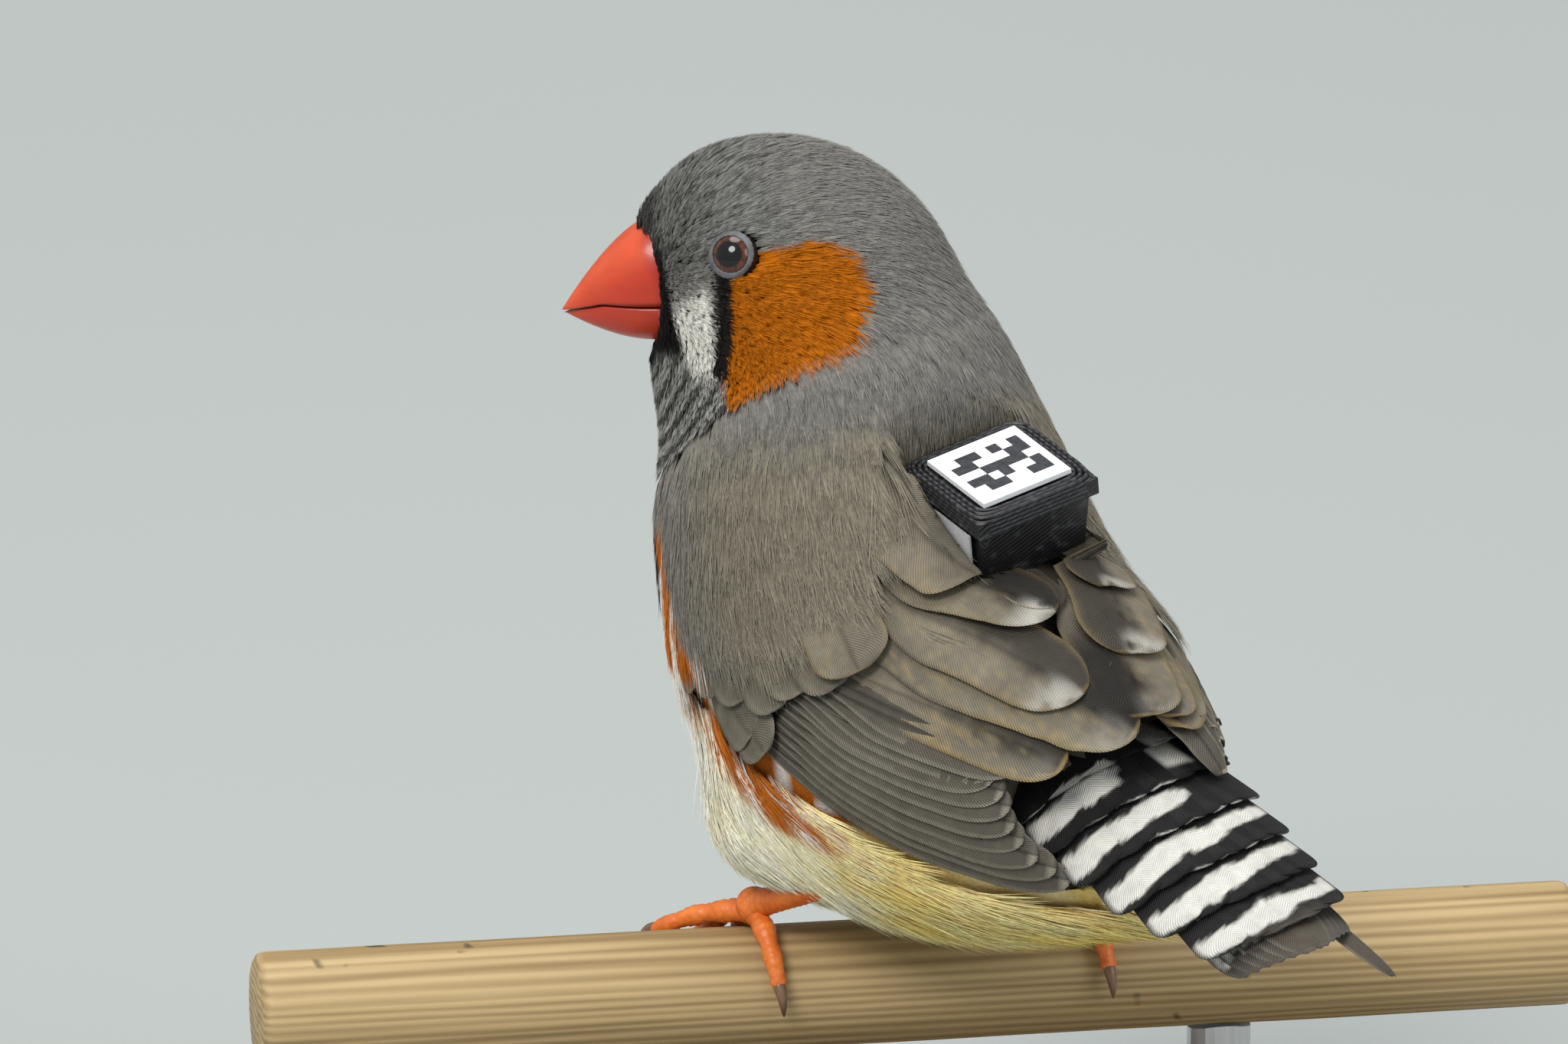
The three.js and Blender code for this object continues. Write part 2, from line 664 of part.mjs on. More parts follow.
// Feathers of the folded wing, each from its root to its tip in mm along the trunk and degrees from the back
function wingVane(sign, feather) {
  const place = (u) => {
    const t = lerp(feather.root[0], feather.tip[0], u);
    const bend = (feather.bend ?? 0) * 4 * u * (1 - u);
    const degrees = sign * (lerp(feather.root[1], feather.tip[1], u) + bend);
    return onTrunk(t, degrees, lerp(feather.heights[0], feather.heights[1], u));
  };
  const sheet = (u, v, lift) => {
    const centre = place(u);
    const ahead = place(Math.min(u + 0.05, 1)).sub(place(Math.max(u - 0.05, 0))).normalize();
    const out = slope(centre);
    const down = out.clone().cross(ahead).normalize().multiplyScalar(sign);
    const half = (feather.width / 2) * vaneWidth(u);
    const tilt = feather.shingle * lerp(0.5, 1, Math.min(u * 2, 1));
    const height = lerp(feather.heights[0], feather.heights[1], u) + (tilt * v * half * 2) / feather.width;
    const p = settle(centre.addScaledVector(down, v * half), height, 2);
    return p.addScaledVector(slope(p), lift);
  };
  const columns = feather.width < NARROW_VANE ? 2 : 3;
  return sheetSolid(VANE_ROWS, columns, (u, v) => sheet(u, v, VANE_THICKNESS / 2), (u, v) => sheet(u, v, -VANE_THICKNESS / 2));
}

// Share of its full width that a vane has along its length, with a round tip
function vaneWidth(u) {
  const roundTip = Math.sqrt(Math.max(1 - ((u - 0.7) / 0.305) ** 2, 0));
  return u > 0.7 ? roundTip : lerp(0.35, 1, Math.min(u * 2, 1));
}

// Thick inner part of the wing, where the feathers root
function wingCore(sign) {
  const place = (u, v, height) => {
    const t = lerp(17.5, 42, u);
    const high = lerp(72, 24, smoothstep(t, 17, 36));
    const low = wingLowEdge(t) - 4;
    return onTrunk(t, sign * lerp(high, low, (v + 1) / 2), height);
  };
  const top = (u, v) => {
    const fat = Math.sqrt(Math.max((1 - v ** 4) * (1 - (2 * u - 1) ** 6), 0));
    return place(u, v, GAP + 0.9 + 0.6 * fat);
  };
  return sheetSolid(6, 5, top, (u, v) => place(u, v, GAP + 0.45));
}

// Flight feathers, then the tiers of coverts, the tertials and the scapulars that lie over them
function wingFeathers(scapularTips, tertialTips) {
  const feathers = [];
  const fan = (count, make) => {
    for (let i = 0; i < count; i++) {
      feathers.push(make(i / (count - 1)));
    }
  };
  fan(FLIGHT_FEATHERS, (f) => ({
    root: [30 - 5 * f, 64 + 46 * f], tip: [48 + 7.5 * f ** 1.2, 52 + 56 * f],
    width: 3.6, heights: [1.15, 2], shingle: 0.75, bend: -3 * f,
  }));
  fan(GREATER_COVERTS, (f) => ({
    root: [20.5 + 2 * (1 - f), 74 + 34 * f], tip: [34 - 4 * f, 68 + 36 * f], width: 6.4, heights: [0.95, 2.3], shingle: 0.9,
  }));
  fan(MEDIAN_COVERTS, (f) => ({
    root: [18 + 2 * (1 - f), 80 + 26 * f], tip: [26.5 - 2 * f, 76 + 28 * f], width: 6.4, heights: [0.95, 2.3], shingle: 0.9,
  }));
  tertialTips.forEach((tip, i) => feathers.push({
    root: [31, 50 - 9 * i], tip, width: 8, heights: [0.95, 2], shingle: 0.8,
  }));
  scapularTips.forEach((tip, i) => feathers.push({
    root: [22 + i, 56 - 10 * i], tip, width: 7.5, heights: [1.1, 3], shingle: 0.8,
  }));
  return feathers;
}

const SCAPULAR_TIPS = { left: [[37, 57], [42, 44], [46, 31], [43, 18]], right: [[37, 57], [42, 42], [46.5, 27], [42, 12]] };
const TERTIAL_TIPS = { left: [[50.5, 52], [53, 36], [54.5, 19]], right: [[50.5, 52], [53, 34], [54, 14]] };
const PARTING = 1.6;

function wingSolid(side) {
  const sign = side === 'left' ? 1 : -1;
  const feathers = wingFeathers(SCAPULAR_TIPS[side], TERTIAL_TIPS[side]);
  const solid = unite([wingCore(sign), ...feathers.map((feather) => wingVane(sign, feather))]);
  const middle = vec(PARTING + (sign * GAP) / 2, 0, 0);
  return largest(solid.intersect(halfSpace(middle, vec(sign, 0, 0))).subtract(tagRoom));
}

// Tail: a point over its arched upper side, from the distance along it, degrees round it and height
const tailOrigin = vec(0, -TAIL_BASE.forward, PERCH_TOP + TAIL_BASE.height);
const tailWay = vec(0, Math.cos(TAIL_SLOPE), -Math.sin(TAIL_SLOPE));
const tailUp = vec(0, Math.sin(TAIL_SLOPE), Math.cos(TAIL_SLOPE));
const tailSide = LEFT.clone().applyAxisAngle(tailWay, TAIL_ROLL);
const tailTop = tailUp.clone().applyAxisAngle(tailWay, TAIL_ROLL);
function onTail(along, degrees, height) {
  const angle = degToRad(degrees);
  const radius = TAIL_ARCH + height;
  return tailOrigin.clone().addScaledVector(tailWay, along)
    .addScaledVector(tailSide, radius * Math.sin(angle)).addScaledVector(tailTop, radius * Math.cos(angle) - TAIL_ARCH);
}
function tailVane(feather) {
  const sheet = (u, v, lift) => {
    const along = lerp(feather.from, feather.to, u);
    const half = (feather.width / 2) * vaneWidth(u);
    const degrees = lerp(feather.start, feather.end, u) + THREE.MathUtils.radToDeg((v * half) / TAIL_ARCH);
    return onTail(along, degrees, lerp(feather.heights[0], feather.heights[1], u) - 0.1 * Math.abs(v) + lift);
  };
  const columns = feather.width < NARROW_VANE ? 2 : 3;
  return sheetSolid(VANE_ROWS, columns, (u, v) => sheet(u, v, VANE_THICKNESS / 2), (u, v) => sheet(u, v, -VANE_THICKNESS / 2));
}

// Tail feathers in pairs, the middle pair on top, and the barred coverts in tiers over them
function tailFeathers() {
  const feathers = [];
  for (let i = 0; i < TAIL_PAIRS; i++) {
    for (const sign of [1, -1]) {
      const splayed = sign < 0 && i === TAIL_PAIRS - 1;
      feathers.push({
        from: 7, to: splayed ? 30.5 : 26.6 - 0.5 * i, start: sign * (2 + 3 * i), end: sign * (3 + 5.6 * i),
        width: splayed ? 3 : 4.2, heights: [-2.4 - 0.3 * i, -0.7 - 0.3 * i - (sign < 0 ? 0.2 : 0)],
      });
    }
  }
  for (const row of TAIL_COVERT_ROWS) {
    for (let i = 0; i < row.count; i++) {
      const share = (2 * i) / (row.count - 1) - 1;
      feathers.push({
        from: Math.max(row.tip - 12, 2.5), to: row.tip - 1.5 * Math.abs(share), start: row.spread * share * 0.8,
        end: row.spread * share, width: row.width, heights: [-1.4, row.height - 0.5 * (i % 2)],
      });
    }
  }
  return feathers;
}

// The feathered body, parted into head, neck, torso, thighs and tail
const CUTS = { head: 2.5, neck: 12, tail: 51 };
function cutBody() {
  const whole = fieldSolid(bodyDistance, vec(-21, -29, PERCH_TOP - 3), vec(22, 44, PERCH_TOP + 62), 3);
  const clearOfPerch = whole.subtract(perchSolid(PERCH_RADIUS + GAP, PERCH_LENGTH, 36));
  const plane = (t, shift) => {
    const frame = trunkFrame(t);
    return halfSpace(frame.centre.clone().addScaledVector(frame.tangent, shift), frame.tangent.clone().multiplyScalar(Math.sign(shift)));
  };
  const between = (from, to) => {
    const start = from === null ? clearOfPerch : clearOfPerch.intersect(plane(from, GAP / 2));
    return to === null ? start : start.intersect(plane(to, -GAP / 2));
  };
  return {
    head: between(null, CUTS.head), neck: between(CUTS.head, CUTS.neck),
    torso: between(CUTS.neck, CUTS.tail), tail: between(CUTS.tail, null),
  };
}

const group = new THREE.Group();
group.name = 'zebra_finch_on_stand';
function add(name, solid, colour, roughness) {
  const geometry = geometryFrom(solid);
  geometry.computeVertexNormals();
  const node = new THREE.Mesh(geometry, new THREE.MeshStandardMaterial({ color: colour, roughness, metalness: 0 }));
  node.name = name;
  group.add(node);
}

const body = cutBody();
let head = unite([body.head, lidSolid(1), lidSolid(-1)]).subtract(billSolid(BILL_ROOT + GAP, GAP));
for (const sign of [1, -1]) {
  head = head.subtract(ball(eyePlace(sign).centre, EYE_RADIUS + GAP, 2));
}
add('head', largest(head), 0x77756f, 0.95);
add('neck', largest(body.neck.subtract(tagRoom)), 0x8b8983, 0.95);
let torso = body.torso.subtract(tagRoom);
for (const sign of [1, -1]) {
  torso = torso.subtract(ball(thighCentre(sign), THIGH_CUT + GAP, 2));
}
add('torso', largest(torso), 0xd9cba4, 0.95);
add('thigh_left', largest(body.torso.intersect(ball(thighCentre(1), THIGH_CUT, 2))), 0xe2d9bd, 0.95);
add('thigh_right', largest(body.torso.intersect(ball(thighCentre(-1), THIGH_CUT, 2))), 0xe2d9bd, 0.95);
add('tail', largest(unite([body.tail, ...tailFeathers().map(tailVane)])), 0x1d1b1a, 0.9);
add('wing_left', wingSolid('left'), 0x7d7468, 0.9);
add('wing_right', wingSolid('right'), 0x7d7468, 0.9);

const bill = billSolid(BILL_ROOT, 0).subtract(mouthCut()).decompose().sort((a, b) => b.volume() - a.volume()).slice(0, 2);
const middleUp = (solid) => {
  const box = solid.boundingBox();
  return (box.min[2] + box.max[2]) / 2;
};
bill.sort((a, b) => middleUp(b) - middleUp(a));
add('bill_upper', bill[0], 0xe3482c, 0.35);
add('bill_lower', bill[1], 0xd8402a, 0.35);
add('eye_left', ball(eyePlace(1).centre, EYE_RADIUS, 2), 0x1a0f0c, 0.1);
add('eye_right', ball(eyePlace(-1).centre, EYE_RADIUS, 2), 0x1a0f0c, 0.1);
for (const side of ['left', 'right']) {
  add(`shank_${side}`, shankSolid(side), 0xe0653a, 0.5);
  add(`foot_${side}`, largest(unite(footParts(side, 0))), 0xe0653a, 0.5);
}
add('tag_housing', largest(tagHousingSolid(0)), 0x1b1b1c, 0.6);
add('tag_plate', tagPlateSolid(), 0x1b1b1c, 0.5);
add('tag_label', tagLabelSolid(), 0xf1f1ee, 0.6);
add('perch', perchSolid(PERCH_RADIUS, PERCH_LENGTH, 36), 0xc9a877, 0.7);
add('stand_base', baseSolid(), 0x2c2420, 0.5);
add('stand_rod_a', largest(rodSolid(-ROD_OFFSET)), 0x9a9a9a, 0.35);
add('stand_rod_b', largest(rodSolid(ROD_OFFSET)), 0x9a9a9a, 0.35);

export default group;
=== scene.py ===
import math

import bpy
import numpy as np
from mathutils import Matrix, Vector
from mathutils.kdtree import KDTree


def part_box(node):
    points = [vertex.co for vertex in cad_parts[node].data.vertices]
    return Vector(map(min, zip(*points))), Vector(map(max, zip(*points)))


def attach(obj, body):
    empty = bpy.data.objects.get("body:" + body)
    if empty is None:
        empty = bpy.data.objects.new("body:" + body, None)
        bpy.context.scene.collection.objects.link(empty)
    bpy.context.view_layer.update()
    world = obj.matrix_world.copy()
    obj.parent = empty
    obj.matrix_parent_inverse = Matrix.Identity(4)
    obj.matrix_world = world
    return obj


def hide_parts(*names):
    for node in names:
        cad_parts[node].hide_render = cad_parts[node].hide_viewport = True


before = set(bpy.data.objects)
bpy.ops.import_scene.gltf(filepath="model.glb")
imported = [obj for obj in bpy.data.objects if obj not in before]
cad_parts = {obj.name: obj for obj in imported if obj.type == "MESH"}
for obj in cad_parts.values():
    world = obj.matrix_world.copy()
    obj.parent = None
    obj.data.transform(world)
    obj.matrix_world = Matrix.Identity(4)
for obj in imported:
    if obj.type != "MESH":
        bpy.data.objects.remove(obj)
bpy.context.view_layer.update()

# Zebra finch on its perch and stand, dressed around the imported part.
# Helpers work in millimetres in the part's frame: the bird faces -Y, its left is +X, the floor is z = 0.
MM = 0.001

# Perch and stand, the same named sizes as in the part's source
PERCH_RADIUS = 4.9
PERCH_LENGTH = 104.0
PERCH_TURN = math.radians(151.8)
PERCH_AXIS_HEIGHT = 28.0
PERCH_TOP = PERCH_AXIS_HEIGHT + PERCH_RADIUS + 0.2
GAP = 0.3  # left between the toes and the perch
BASE_THICKNESS = 6.0
ROD_RADIUS, ROD_OFFSET = 2.5, 24.0
COLLAR_SIDES = 64
COLLAR = (  # round the foot of a rod: radius and height over the base
    (ROD_RADIUS + 0.05, 0.02), (4.1, 0.02), (4.3, 0.35), (4.3, 1.5), (3.9, 1.85), (ROD_RADIUS + 0.05, 1.85),
)

# Body
TRUNK = np.array([  # forward, height over the perch, radius
    (12, 46, 11.2), (10.5, 42, 12.6), (8.8, 37, 14.6), (7, 31, 16.3), (3.5, 24, 17.5), (-3, 18.2, 17.6),
    (-11, 17, 15.6), (-19, 15.8, 12), (-26, 14.2, 8.2), (-32, 12.6, 5), (-38, 11.9, 2.4),
])
TRUNK_STATIONS = 30
RUMP_BALLS = 9
BILL_BASE = np.array([9.93, -19.45, PERCH_TOP + 49.1])
HEAD_TURN = math.radians(52)
HEAD_PITCH = math.radians(18.7)
HEAD_BLOBS = [  # forward, up, radius, width
    (-8.6, -2.6, 11.1, 0.87), (-6.2, 1.7, 6.4, 1.05), (-3.4, -8.2, 6.2, 1.0), (-1.3, 3.0, 2.4, 1.3),
]
HEAD_BLEND = 2.4
THIGH = np.array([10.3, -3.6, PERCH_TOP + 10])
THIGH_RADIUS = 6.0
THIGH_BLEND = 3.0
NECK_BLEND = 1.6 * HEAD_BLEND
TAIL_ROOM_BLEND, TAG_ROOM_BLEND = 1.5, 0.6
WING_LOW_EDGE = np.array([  # along the trunk, degrees from the back
    (16, 114), (20, 111), (25, 105), (29.5, 95), (31.8, 92), (36.3, 97), (40.9, 99), (45.4, 102), (52, 109),
    (60, 112),
])
LEFT = np.array([1.0, 0, 0])
MIRROR = np.array([-1, 1, 1])

# Tail
TAIL_ROOM = (-1.5, 50.0, 2.0)  # from where along the tail, degrees to either side, depth under its top
TAIL_ORIGIN = np.array([0, 24.0, PERCH_TOP + 21])
TAIL_SLOPE = math.radians(22.5)
TAIL_ROLL = math.radians(12)
TAIL_ARCH = 13.0
TAIL_PAIRS = 6
COVERTS_ACROSS = 6
TAIL_COVERTS = (  # rows of them: tip along the tail, degrees to the left and to the right
    (24.0, 20, 17), (19.8, 26, 20), (15.6, 31, 22), (11.2, 34, 24), (7.0, 35, 25), (3.0, 34, 24),
)
BARS = ((3.6, 9), (8.3, -6), (12.9, -40), (17.5, -40), (22.1, -40))  # along the tail, degrees it starts at

# Legs
FOOT_ALONG = {"left": -12.9, "right": 13.1}
TOE_RADIUS, TOE_END_RADIUS = 0.95, 0.62
TOE_PADS = 1.4
FRONT_CLAW, HIND_CLAW, CLAW_SEAT = 1.7, 2.6, 0.35
ANKLE_RADIUS, SHANK_RADIUS = 1.5, 1.05
SHANK_RISE = math.radians(24)
SHANK_REACH = 6.0  # its length where it doesn't meet the body
FRONT_TOES = [(7.5, -3, -1), (10.5, -28, -1), (7.5, -53, -1)]  # length, degrees off straight, way round
HIND_TOE = (6, 8, 1)
TOES = {"left": [*FRONT_TOES, HIND_TOE], "right": [*FRONT_TOES[::-1], HIND_TOE]}

# Bill and eyes
BILL_LENGTH, CULMEN_HEIGHT, GONYS_DEPTH, BILL_HALF_WIDTH, BILL_ROOT = 8.2, 4.8, 4.7, 3.9, 1.6
BILL_RING, LIP_POINTS = 29, 7
MOUTH_LINE = ((-4, -2.2), (0, -1.45), (2.6, -0.75), (4.9, -0.1), (BILL_LENGTH + 2, -0.1))
EYE_RADIUS = 2.1
EYE_OPENING = 1.76
LID_MIDDLE, LID_WIDTH, LID_THICKNESS = 1.64, 0.22, 0.13

# Coat, skin and the sheets of the feathers
COAT_DEPTH = 1.1  # from the coat's surface down to the skin
WING_DEPTH = 0.8  # how much deeper the skin lies under a wing
SKIN_CELL = 0.7
HEAD_TUFTS, BODY_TUFTS = 11500, 15500
TUFT_SWING = 8.0
BLADE_POINTS, BLADE_WIDEST = 5, 0.42  # root, left, right and ridge where it is widest, tip
BLADE_FACES = np.array([(0, 1, 2), (0, 2, 3), (0, 3, 1), (1, 4, 2), (2, 4, 3), (3, 4, 1)])
PIECE_TRIANGLES = 190000
BAKE_PATCH = 0.003  # size of a tuft on the unwrap
BAKE_CELLS = 8  # vanes in a row of the unwrap
VANE_THICKNESS = 0.16
BARB_SPACING, BARB_SLANT = 0.25, 0.9
SHINGLE = 0.3  # how much higher a wing feather's lower edge lies than its middle

# Camera at the photograph's angle, and the paper that the stand is on, in metres
FRAME = (2048, 1364)
TARGET = np.array([8.2, -6.4, 65.2])
CAMERA = np.array([714.9, 897.6, 416.0])
LENS, SENSOR = 356.5, 36.0
STAGE_SIZE, WALL_START, WALL_BEND, WALL_HEIGHT = 6.0, 3.6, 1.0, 3.0

# Feathers of the wings where the photograph shows them: root and tip in full-frame pixels
FLIGHT_PLACES = [
    ((985, 968), (1398, 1150)), ((988, 956), (1380, 1134)), ((992, 945), (1356, 1118)),
    ((997, 935), (1338, 1096)), ((1003, 926), (1326, 1076)), ((1010, 918), (1320, 1054)),
    ((1018, 910), (1312, 1034)), ((1026, 903), (1300, 1014)), ((1036, 898), (1272, 1004)),
    ((1048, 893), (1306, 1002)), ((1060, 888), (1336, 998)), ((1075, 882), (1352, 990)),
]
COVERT_PLACES = [
    ((868, 790), (912, 893)), ((890, 775), (938, 906)), ((915, 768), (968, 918)),
    ((945, 768), (1016, 928)), ((975, 775), (1048, 906)), ((1010, 780), (1098, 896)),
    ((915, 875), (985, 962)), ((935, 880), (1002, 984)),
]
TERTIAL_PLACES = {  # root, tip, width, heights at both, pale tip, gold rim, dark inside; 1 is the left wing
    1: [
        ((1085, 868), (1392, 1000), 5.6, (-0.7, 0.1), 0.1, 1.0, 0.8),
        ((1120, 815), (1484, 962), 8.0, (-0.7, 0.25), 0.25, 0.8, 1.0),
        ((1130, 765), (1414, 912), 7.4, (-0.6, 0.45), 0.8, 0.5, 0.8),
        ((1120, 700), (1376, 808), 7.0, (-0.6, 0.55), 0.9, 0.3, 1.0),
        ((1050, 725), (1128, 880), 6.6, (-0.6, 0.6), 0.0, 0.4, 0.2),
        ((1130, 620), (1278, 764), 8.0, (-0.5, 0.85), 0.0, 0.3, 0.25),
        ((1270, 690), (1374, 800), 5.0, (-0.6, 0.35), 0.0, 0.2, 0.9),
    ],
    -1: [
        ((1500, 800), (1578, 950), 5.0, (-0.8, -0.3), 0.2, 0.8, 0.9),
        ((1475, 790), (1560, 936), 5.6, (-0.7, -0.1), 0.2, 0.9, 0.9),
        ((1450, 770), (1532, 938), 6.6, (-0.6, 0.1), 0.1, 1.0, 0.9),
        ((1412, 750), (1493, 940), 8.6, (-0.5, 0.35), 0.2, 0.7, 1.0),
        ((1400, 680), (1472, 862), 8.0, (-0.4, 0.6), 0.8, 0.5, 0.8),
        ((1412, 690), (1438, 776), 6.0, (-0.2, 0.75), 0.8, 0.3, 0.8),
    ],
}
RIGHT_FLIGHT_PLACES = [
    ((1480, 860), (1597, 1012)), ((1482, 850), (1594, 992)), ((1486, 840), (1589, 972)),
    ((1490, 830), (1583, 954)),
]

# Colours, as the light that the feathers send back, and the least and most of it
GREY = np.array([0.192, 0.184, 0.170])
CROWN = np.array([0.200, 0.200, 0.190])
SPECKLE = np.array([0.055, 0.052, 0.046])
BROWN = np.array([0.208, 0.185, 0.142])
ORANGE = np.array([0.400, 0.112, 0.001])
BLACK = np.array([0.012, 0.011, 0.011])
WHITE = np.array([0.72, 0.71, 0.66])
CREAM = np.array([0.99, 0.95, 0.80])
BUFF = np.array([0.96, 0.67, 0.15])
CHESTNUT = np.array([0.46, 0.125, 0.012])
THROAT = np.array([0.30, 0.30, 0.285])
FLIGHT = np.array([0.112, 0.100, 0.081])
COVERT = np.array([0.170, 0.150, 0.114])
PALE_EDGE = np.array([0.38, 0.345, 0.28])
TERTIAL = np.array([0.022, 0.019, 0.016])
TERTIAL_OUTER = np.array([0.200, 0.176, 0.134])
GOLD_EDGE = np.array([0.42, 0.30, 0.13])
PALE_TIP = np.array([0.50, 0.48, 0.43])
TAIL_BROWN = np.array([0.105, 0.088, 0.070])
BILL_RED = np.array([0.56, 0.032, 0.006])
BILL_LIGHT = np.array([0.70, 0.115, 0.035])
BILL_DEEP = np.array([0.42, 0.014, 0.004])
PUPIL = np.array([0.003, 0.003, 0.003])
IRIS_DARK = np.array([0.045, 0.010, 0.006])
IRIS_LIGHT = np.array([0.13, 0.035, 0.016])
EYE_RIM = np.array([0.01, 0.007, 0.006])
ALBEDO = (0.003, 0.95)


# Small vector helpers

def unit(v):
    return v / np.maximum(np.linalg.norm(v, axis=-1, keepdims=True), 1e-9)


def smoothstep(x, low, high):
    x = np.clip((x - low) / (high - low), 0, 1)
    return x * x * (3 - 2 * x)


def falling(x, low, high):
    return 1 - smoothstep(x, low, high)


def mix(a, b, share):
    """From colour or vector a to b, by one share or a share for each row."""
    share = np.asarray(share)
    return a + (b - a) * (share[..., None] if share.ndim else share)


def smooth_min(a, b, blend):
    h = np.clip(0.5 + 0.5 * (b - a) / blend, 0, 1)
    return b + (a - b) * h - blend * h * (1 - h)


def turned(v, axis, angle):
    c, s = math.cos(angle), math.sin(angle)
    return v * c + np.cross(axis, v) * s + axis * np.dot(axis, v) * (1 - c)


# The tag's own frame, with its origin in the middle of the label
TAG_CENTRE = np.array([0, 9.9, PERCH_TOP + 38.9])
TAG_SIZE = 10.9
TAG_RIGHT = unit(np.array([-0.971, 0.124, 0.205]))
TAG_UP = unit(np.cross(TAG_RIGHT, [-0.085, -0.979, 0.184]))
TAG_FORWARD = np.cross(TAG_UP, TAG_RIGHT)
TAG_ROOM, TAG_DEPTH = 0.7, 4.0  # hollow that the coat leaves: beside the tag, and down from its origin
TAG_CELL = 1.1
TAG_PATTERN = ("0110101", "1100011", "0011110", "1101001", "0110011")  # plain blocks, rows from the front
RIM_LINES = (5.25, 4.88, 4.5)
HOUSING_LINES = (-0.62, -0.98, -1.34, -1.7)


def tag_coordinates(p):
    q = p - TAG_CENTRE
    return q @ TAG_RIGHT, q @ TAG_FORWARD, q @ TAG_UP


# Value noise: one number from 0 to 1 for each point, with cells of the given size

def hashed(cells, seed):
    n = cells[..., 0] * 374761393 + cells[..., 1] * 668265263 + cells[..., 2] * 2147483647 + seed * 1274126177
    n = (n ^ (n >> 13)) * 1274126177
    return ((n ^ (n >> 16)) & 0xFFFFFF) / float(0xFFFFFF)


def noise(points, size, seed=0):
    q = points / size
    cell = np.floor(q).astype(np.int64)
    f = q - cell
    f = f * f * (3 - 2 * f)
    total = np.zeros(len(points))
    for corner in range(8):
        bit = np.array([corner & 1, (corner >> 1) & 1, (corner >> 2) & 1])
        weight = np.prod(np.where(bit, f, 1 - f), axis=1)
        total += weight * hashed(cell + bit, seed)
    return total


# The feathered body as a distance field, the same as in the part's source

def trunk_curve():
    points = np.stack([np.zeros(len(TRUNK)), -TRUNK[:, 0], PERCH_TOP + TRUNK[:, 1]], axis=1)
    last = len(points) - 1

    def at(t):
        place = last * t
        i = min(int(place), last - 1)
        w = place - i
        b, c = points[i], points[i + 1]
        a = points[i - 1] if i > 0 else 2 * b - c
        d = points[i + 2] if i + 2 <= last else 2 * c - b
        da, db, dc = (max(np.sum((q - p) ** 2) ** 0.25, 1e-4) for p, q in ((a, b), (b, c), (c, d)))
        ta = ((b - a) / da - (c - a) / (da + db) + (c - b) / db) * db
        tb = ((c - b) / db - (d - b) / (db + dc) + (d - c) / dc) * db
        return b + ta * w + (3 * (c - b) - 2 * ta - tb) * w * w + (2 * (b - c) + ta + tb) * w ** 3

    fine = np.linspace(0, 1, 201)
    line = np.array([at(u) for u in fine])
    length = np.r_[0, np.cumsum(np.linalg.norm(np.diff(line, axis=0), axis=1))]
    even = np.interp(np.linspace(0, length[-1], TRUNK_STATIONS + 1), length, fine)
    centres = np.array([at(u) for u in even])
    ways = unit(np.array([at(min(u + 1e-4, 1)) - at(max(u - 1e-4, 0)) for u in even]))
    radii = np.interp(even * last, np.arange(last + 1), TRUNK[:, 2])
    return centres, ways, radii, length[-1]


CENTRES, WAYS, RADII, TRUNK_LENGTH = trunk_curve()
STATION = TRUNK_LENGTH / TRUNK_STATIONS
HEAD_FORWARD = np.array([
    math.sin(HEAD_TURN) * math.cos(HEAD_PITCH), -math.cos(HEAD_TURN) * math.cos(HEAD_PITCH),
    -math.sin(HEAD_PITCH),
])
HEAD_LEFT = np.array([math.cos(HEAD_TURN), math.sin(HEAD_TURN), 0])
HEAD_UP = np.cross(HEAD_FORWARD, HEAD_LEFT)
TAIL_WAY = np.array([0, math.cos(TAIL_SLOPE), -math.sin(TAIL_SLOPE)])
TAIL_SIDE = turned(LEFT, TAIL_WAY, TAIL_ROLL)
TAIL_TOP = turned(np.array([0, math.sin(TAIL_SLOPE), math.cos(TAIL_SLOPE)]), TAIL_WAY, TAIL_ROLL)


def head_point(forward, left, up):
    along, across = np.multiply.outer(forward, HEAD_FORWARD), np.multiply.outer(left, HEAD_LEFT)
    return BILL_BASE + along + across + np.multiply.outer(up, HEAD_UP)


def head_coordinates(p):
    q = p - BILL_BASE
    return q @ HEAD_FORWARD, q @ HEAD_LEFT, q @ HEAD_UP


def trunk_frame(t):
    place = np.clip(np.asarray(t, float) / STATION, 0, TRUNK_STATIONS - 0.001)
    k = place.astype(int)
    f = (place - k)[..., None]
    centre = CENTRES[k] * (1 - f) + CENTRES[k + 1] * f
    way = unit(WAYS[k] * (1 - f) + WAYS[k + 1] * f)
    return centre, way, np.cross(LEFT, way)


def trunk_distance(p):
    """Distance to the trunk's sweep of balls, and how far along the trunk the nearest ball is."""
    best = np.full(len(p), 1e9)
    along = np.zeros(len(p))
    for k in range(TRUNK_STATIONS):
        a, b = CENTRES[k], CENTRES[k + 1]
        dy, dz = b[1] - a[1], b[2] - a[2]
        py, pz = p[:, 1] - a[1], p[:, 2] - a[2]
        u = np.clip((py * dy + pz * dz) / (dy * dy + dz * dz), 0, 1)
        off_axis = np.sqrt(p[:, 0] ** 2 + (py - u * dy) ** 2 + (pz - u * dz) ** 2)
        d = off_axis - (RADII[k] + (RADII[k + 1] - RADII[k]) * u)
        nearer = d < best
        best[nearer] = d[nearer]
        along[nearer] = ((k + u) * STATION)[nearer]
    return best, along


def head_distance(p):
    forward, left, up = head_coordinates(p)
    d = None
    for blob_forward, blob_up, radius, width in HEAD_BLOBS:
        part = np.sqrt((forward - blob_forward) ** 2 + (left / width) ** 2 + (up - blob_up) ** 2) - radius
        d = part if d is None else smooth_min(d, part, HEAD_BLEND)
    return d


def wing_low_edge(t):
    return np.interp(t, *WING_LOW_EDGE.T)


def wing_front_edge(degrees):
    return 27 - 10 * smoothstep(degrees, 15, 80)


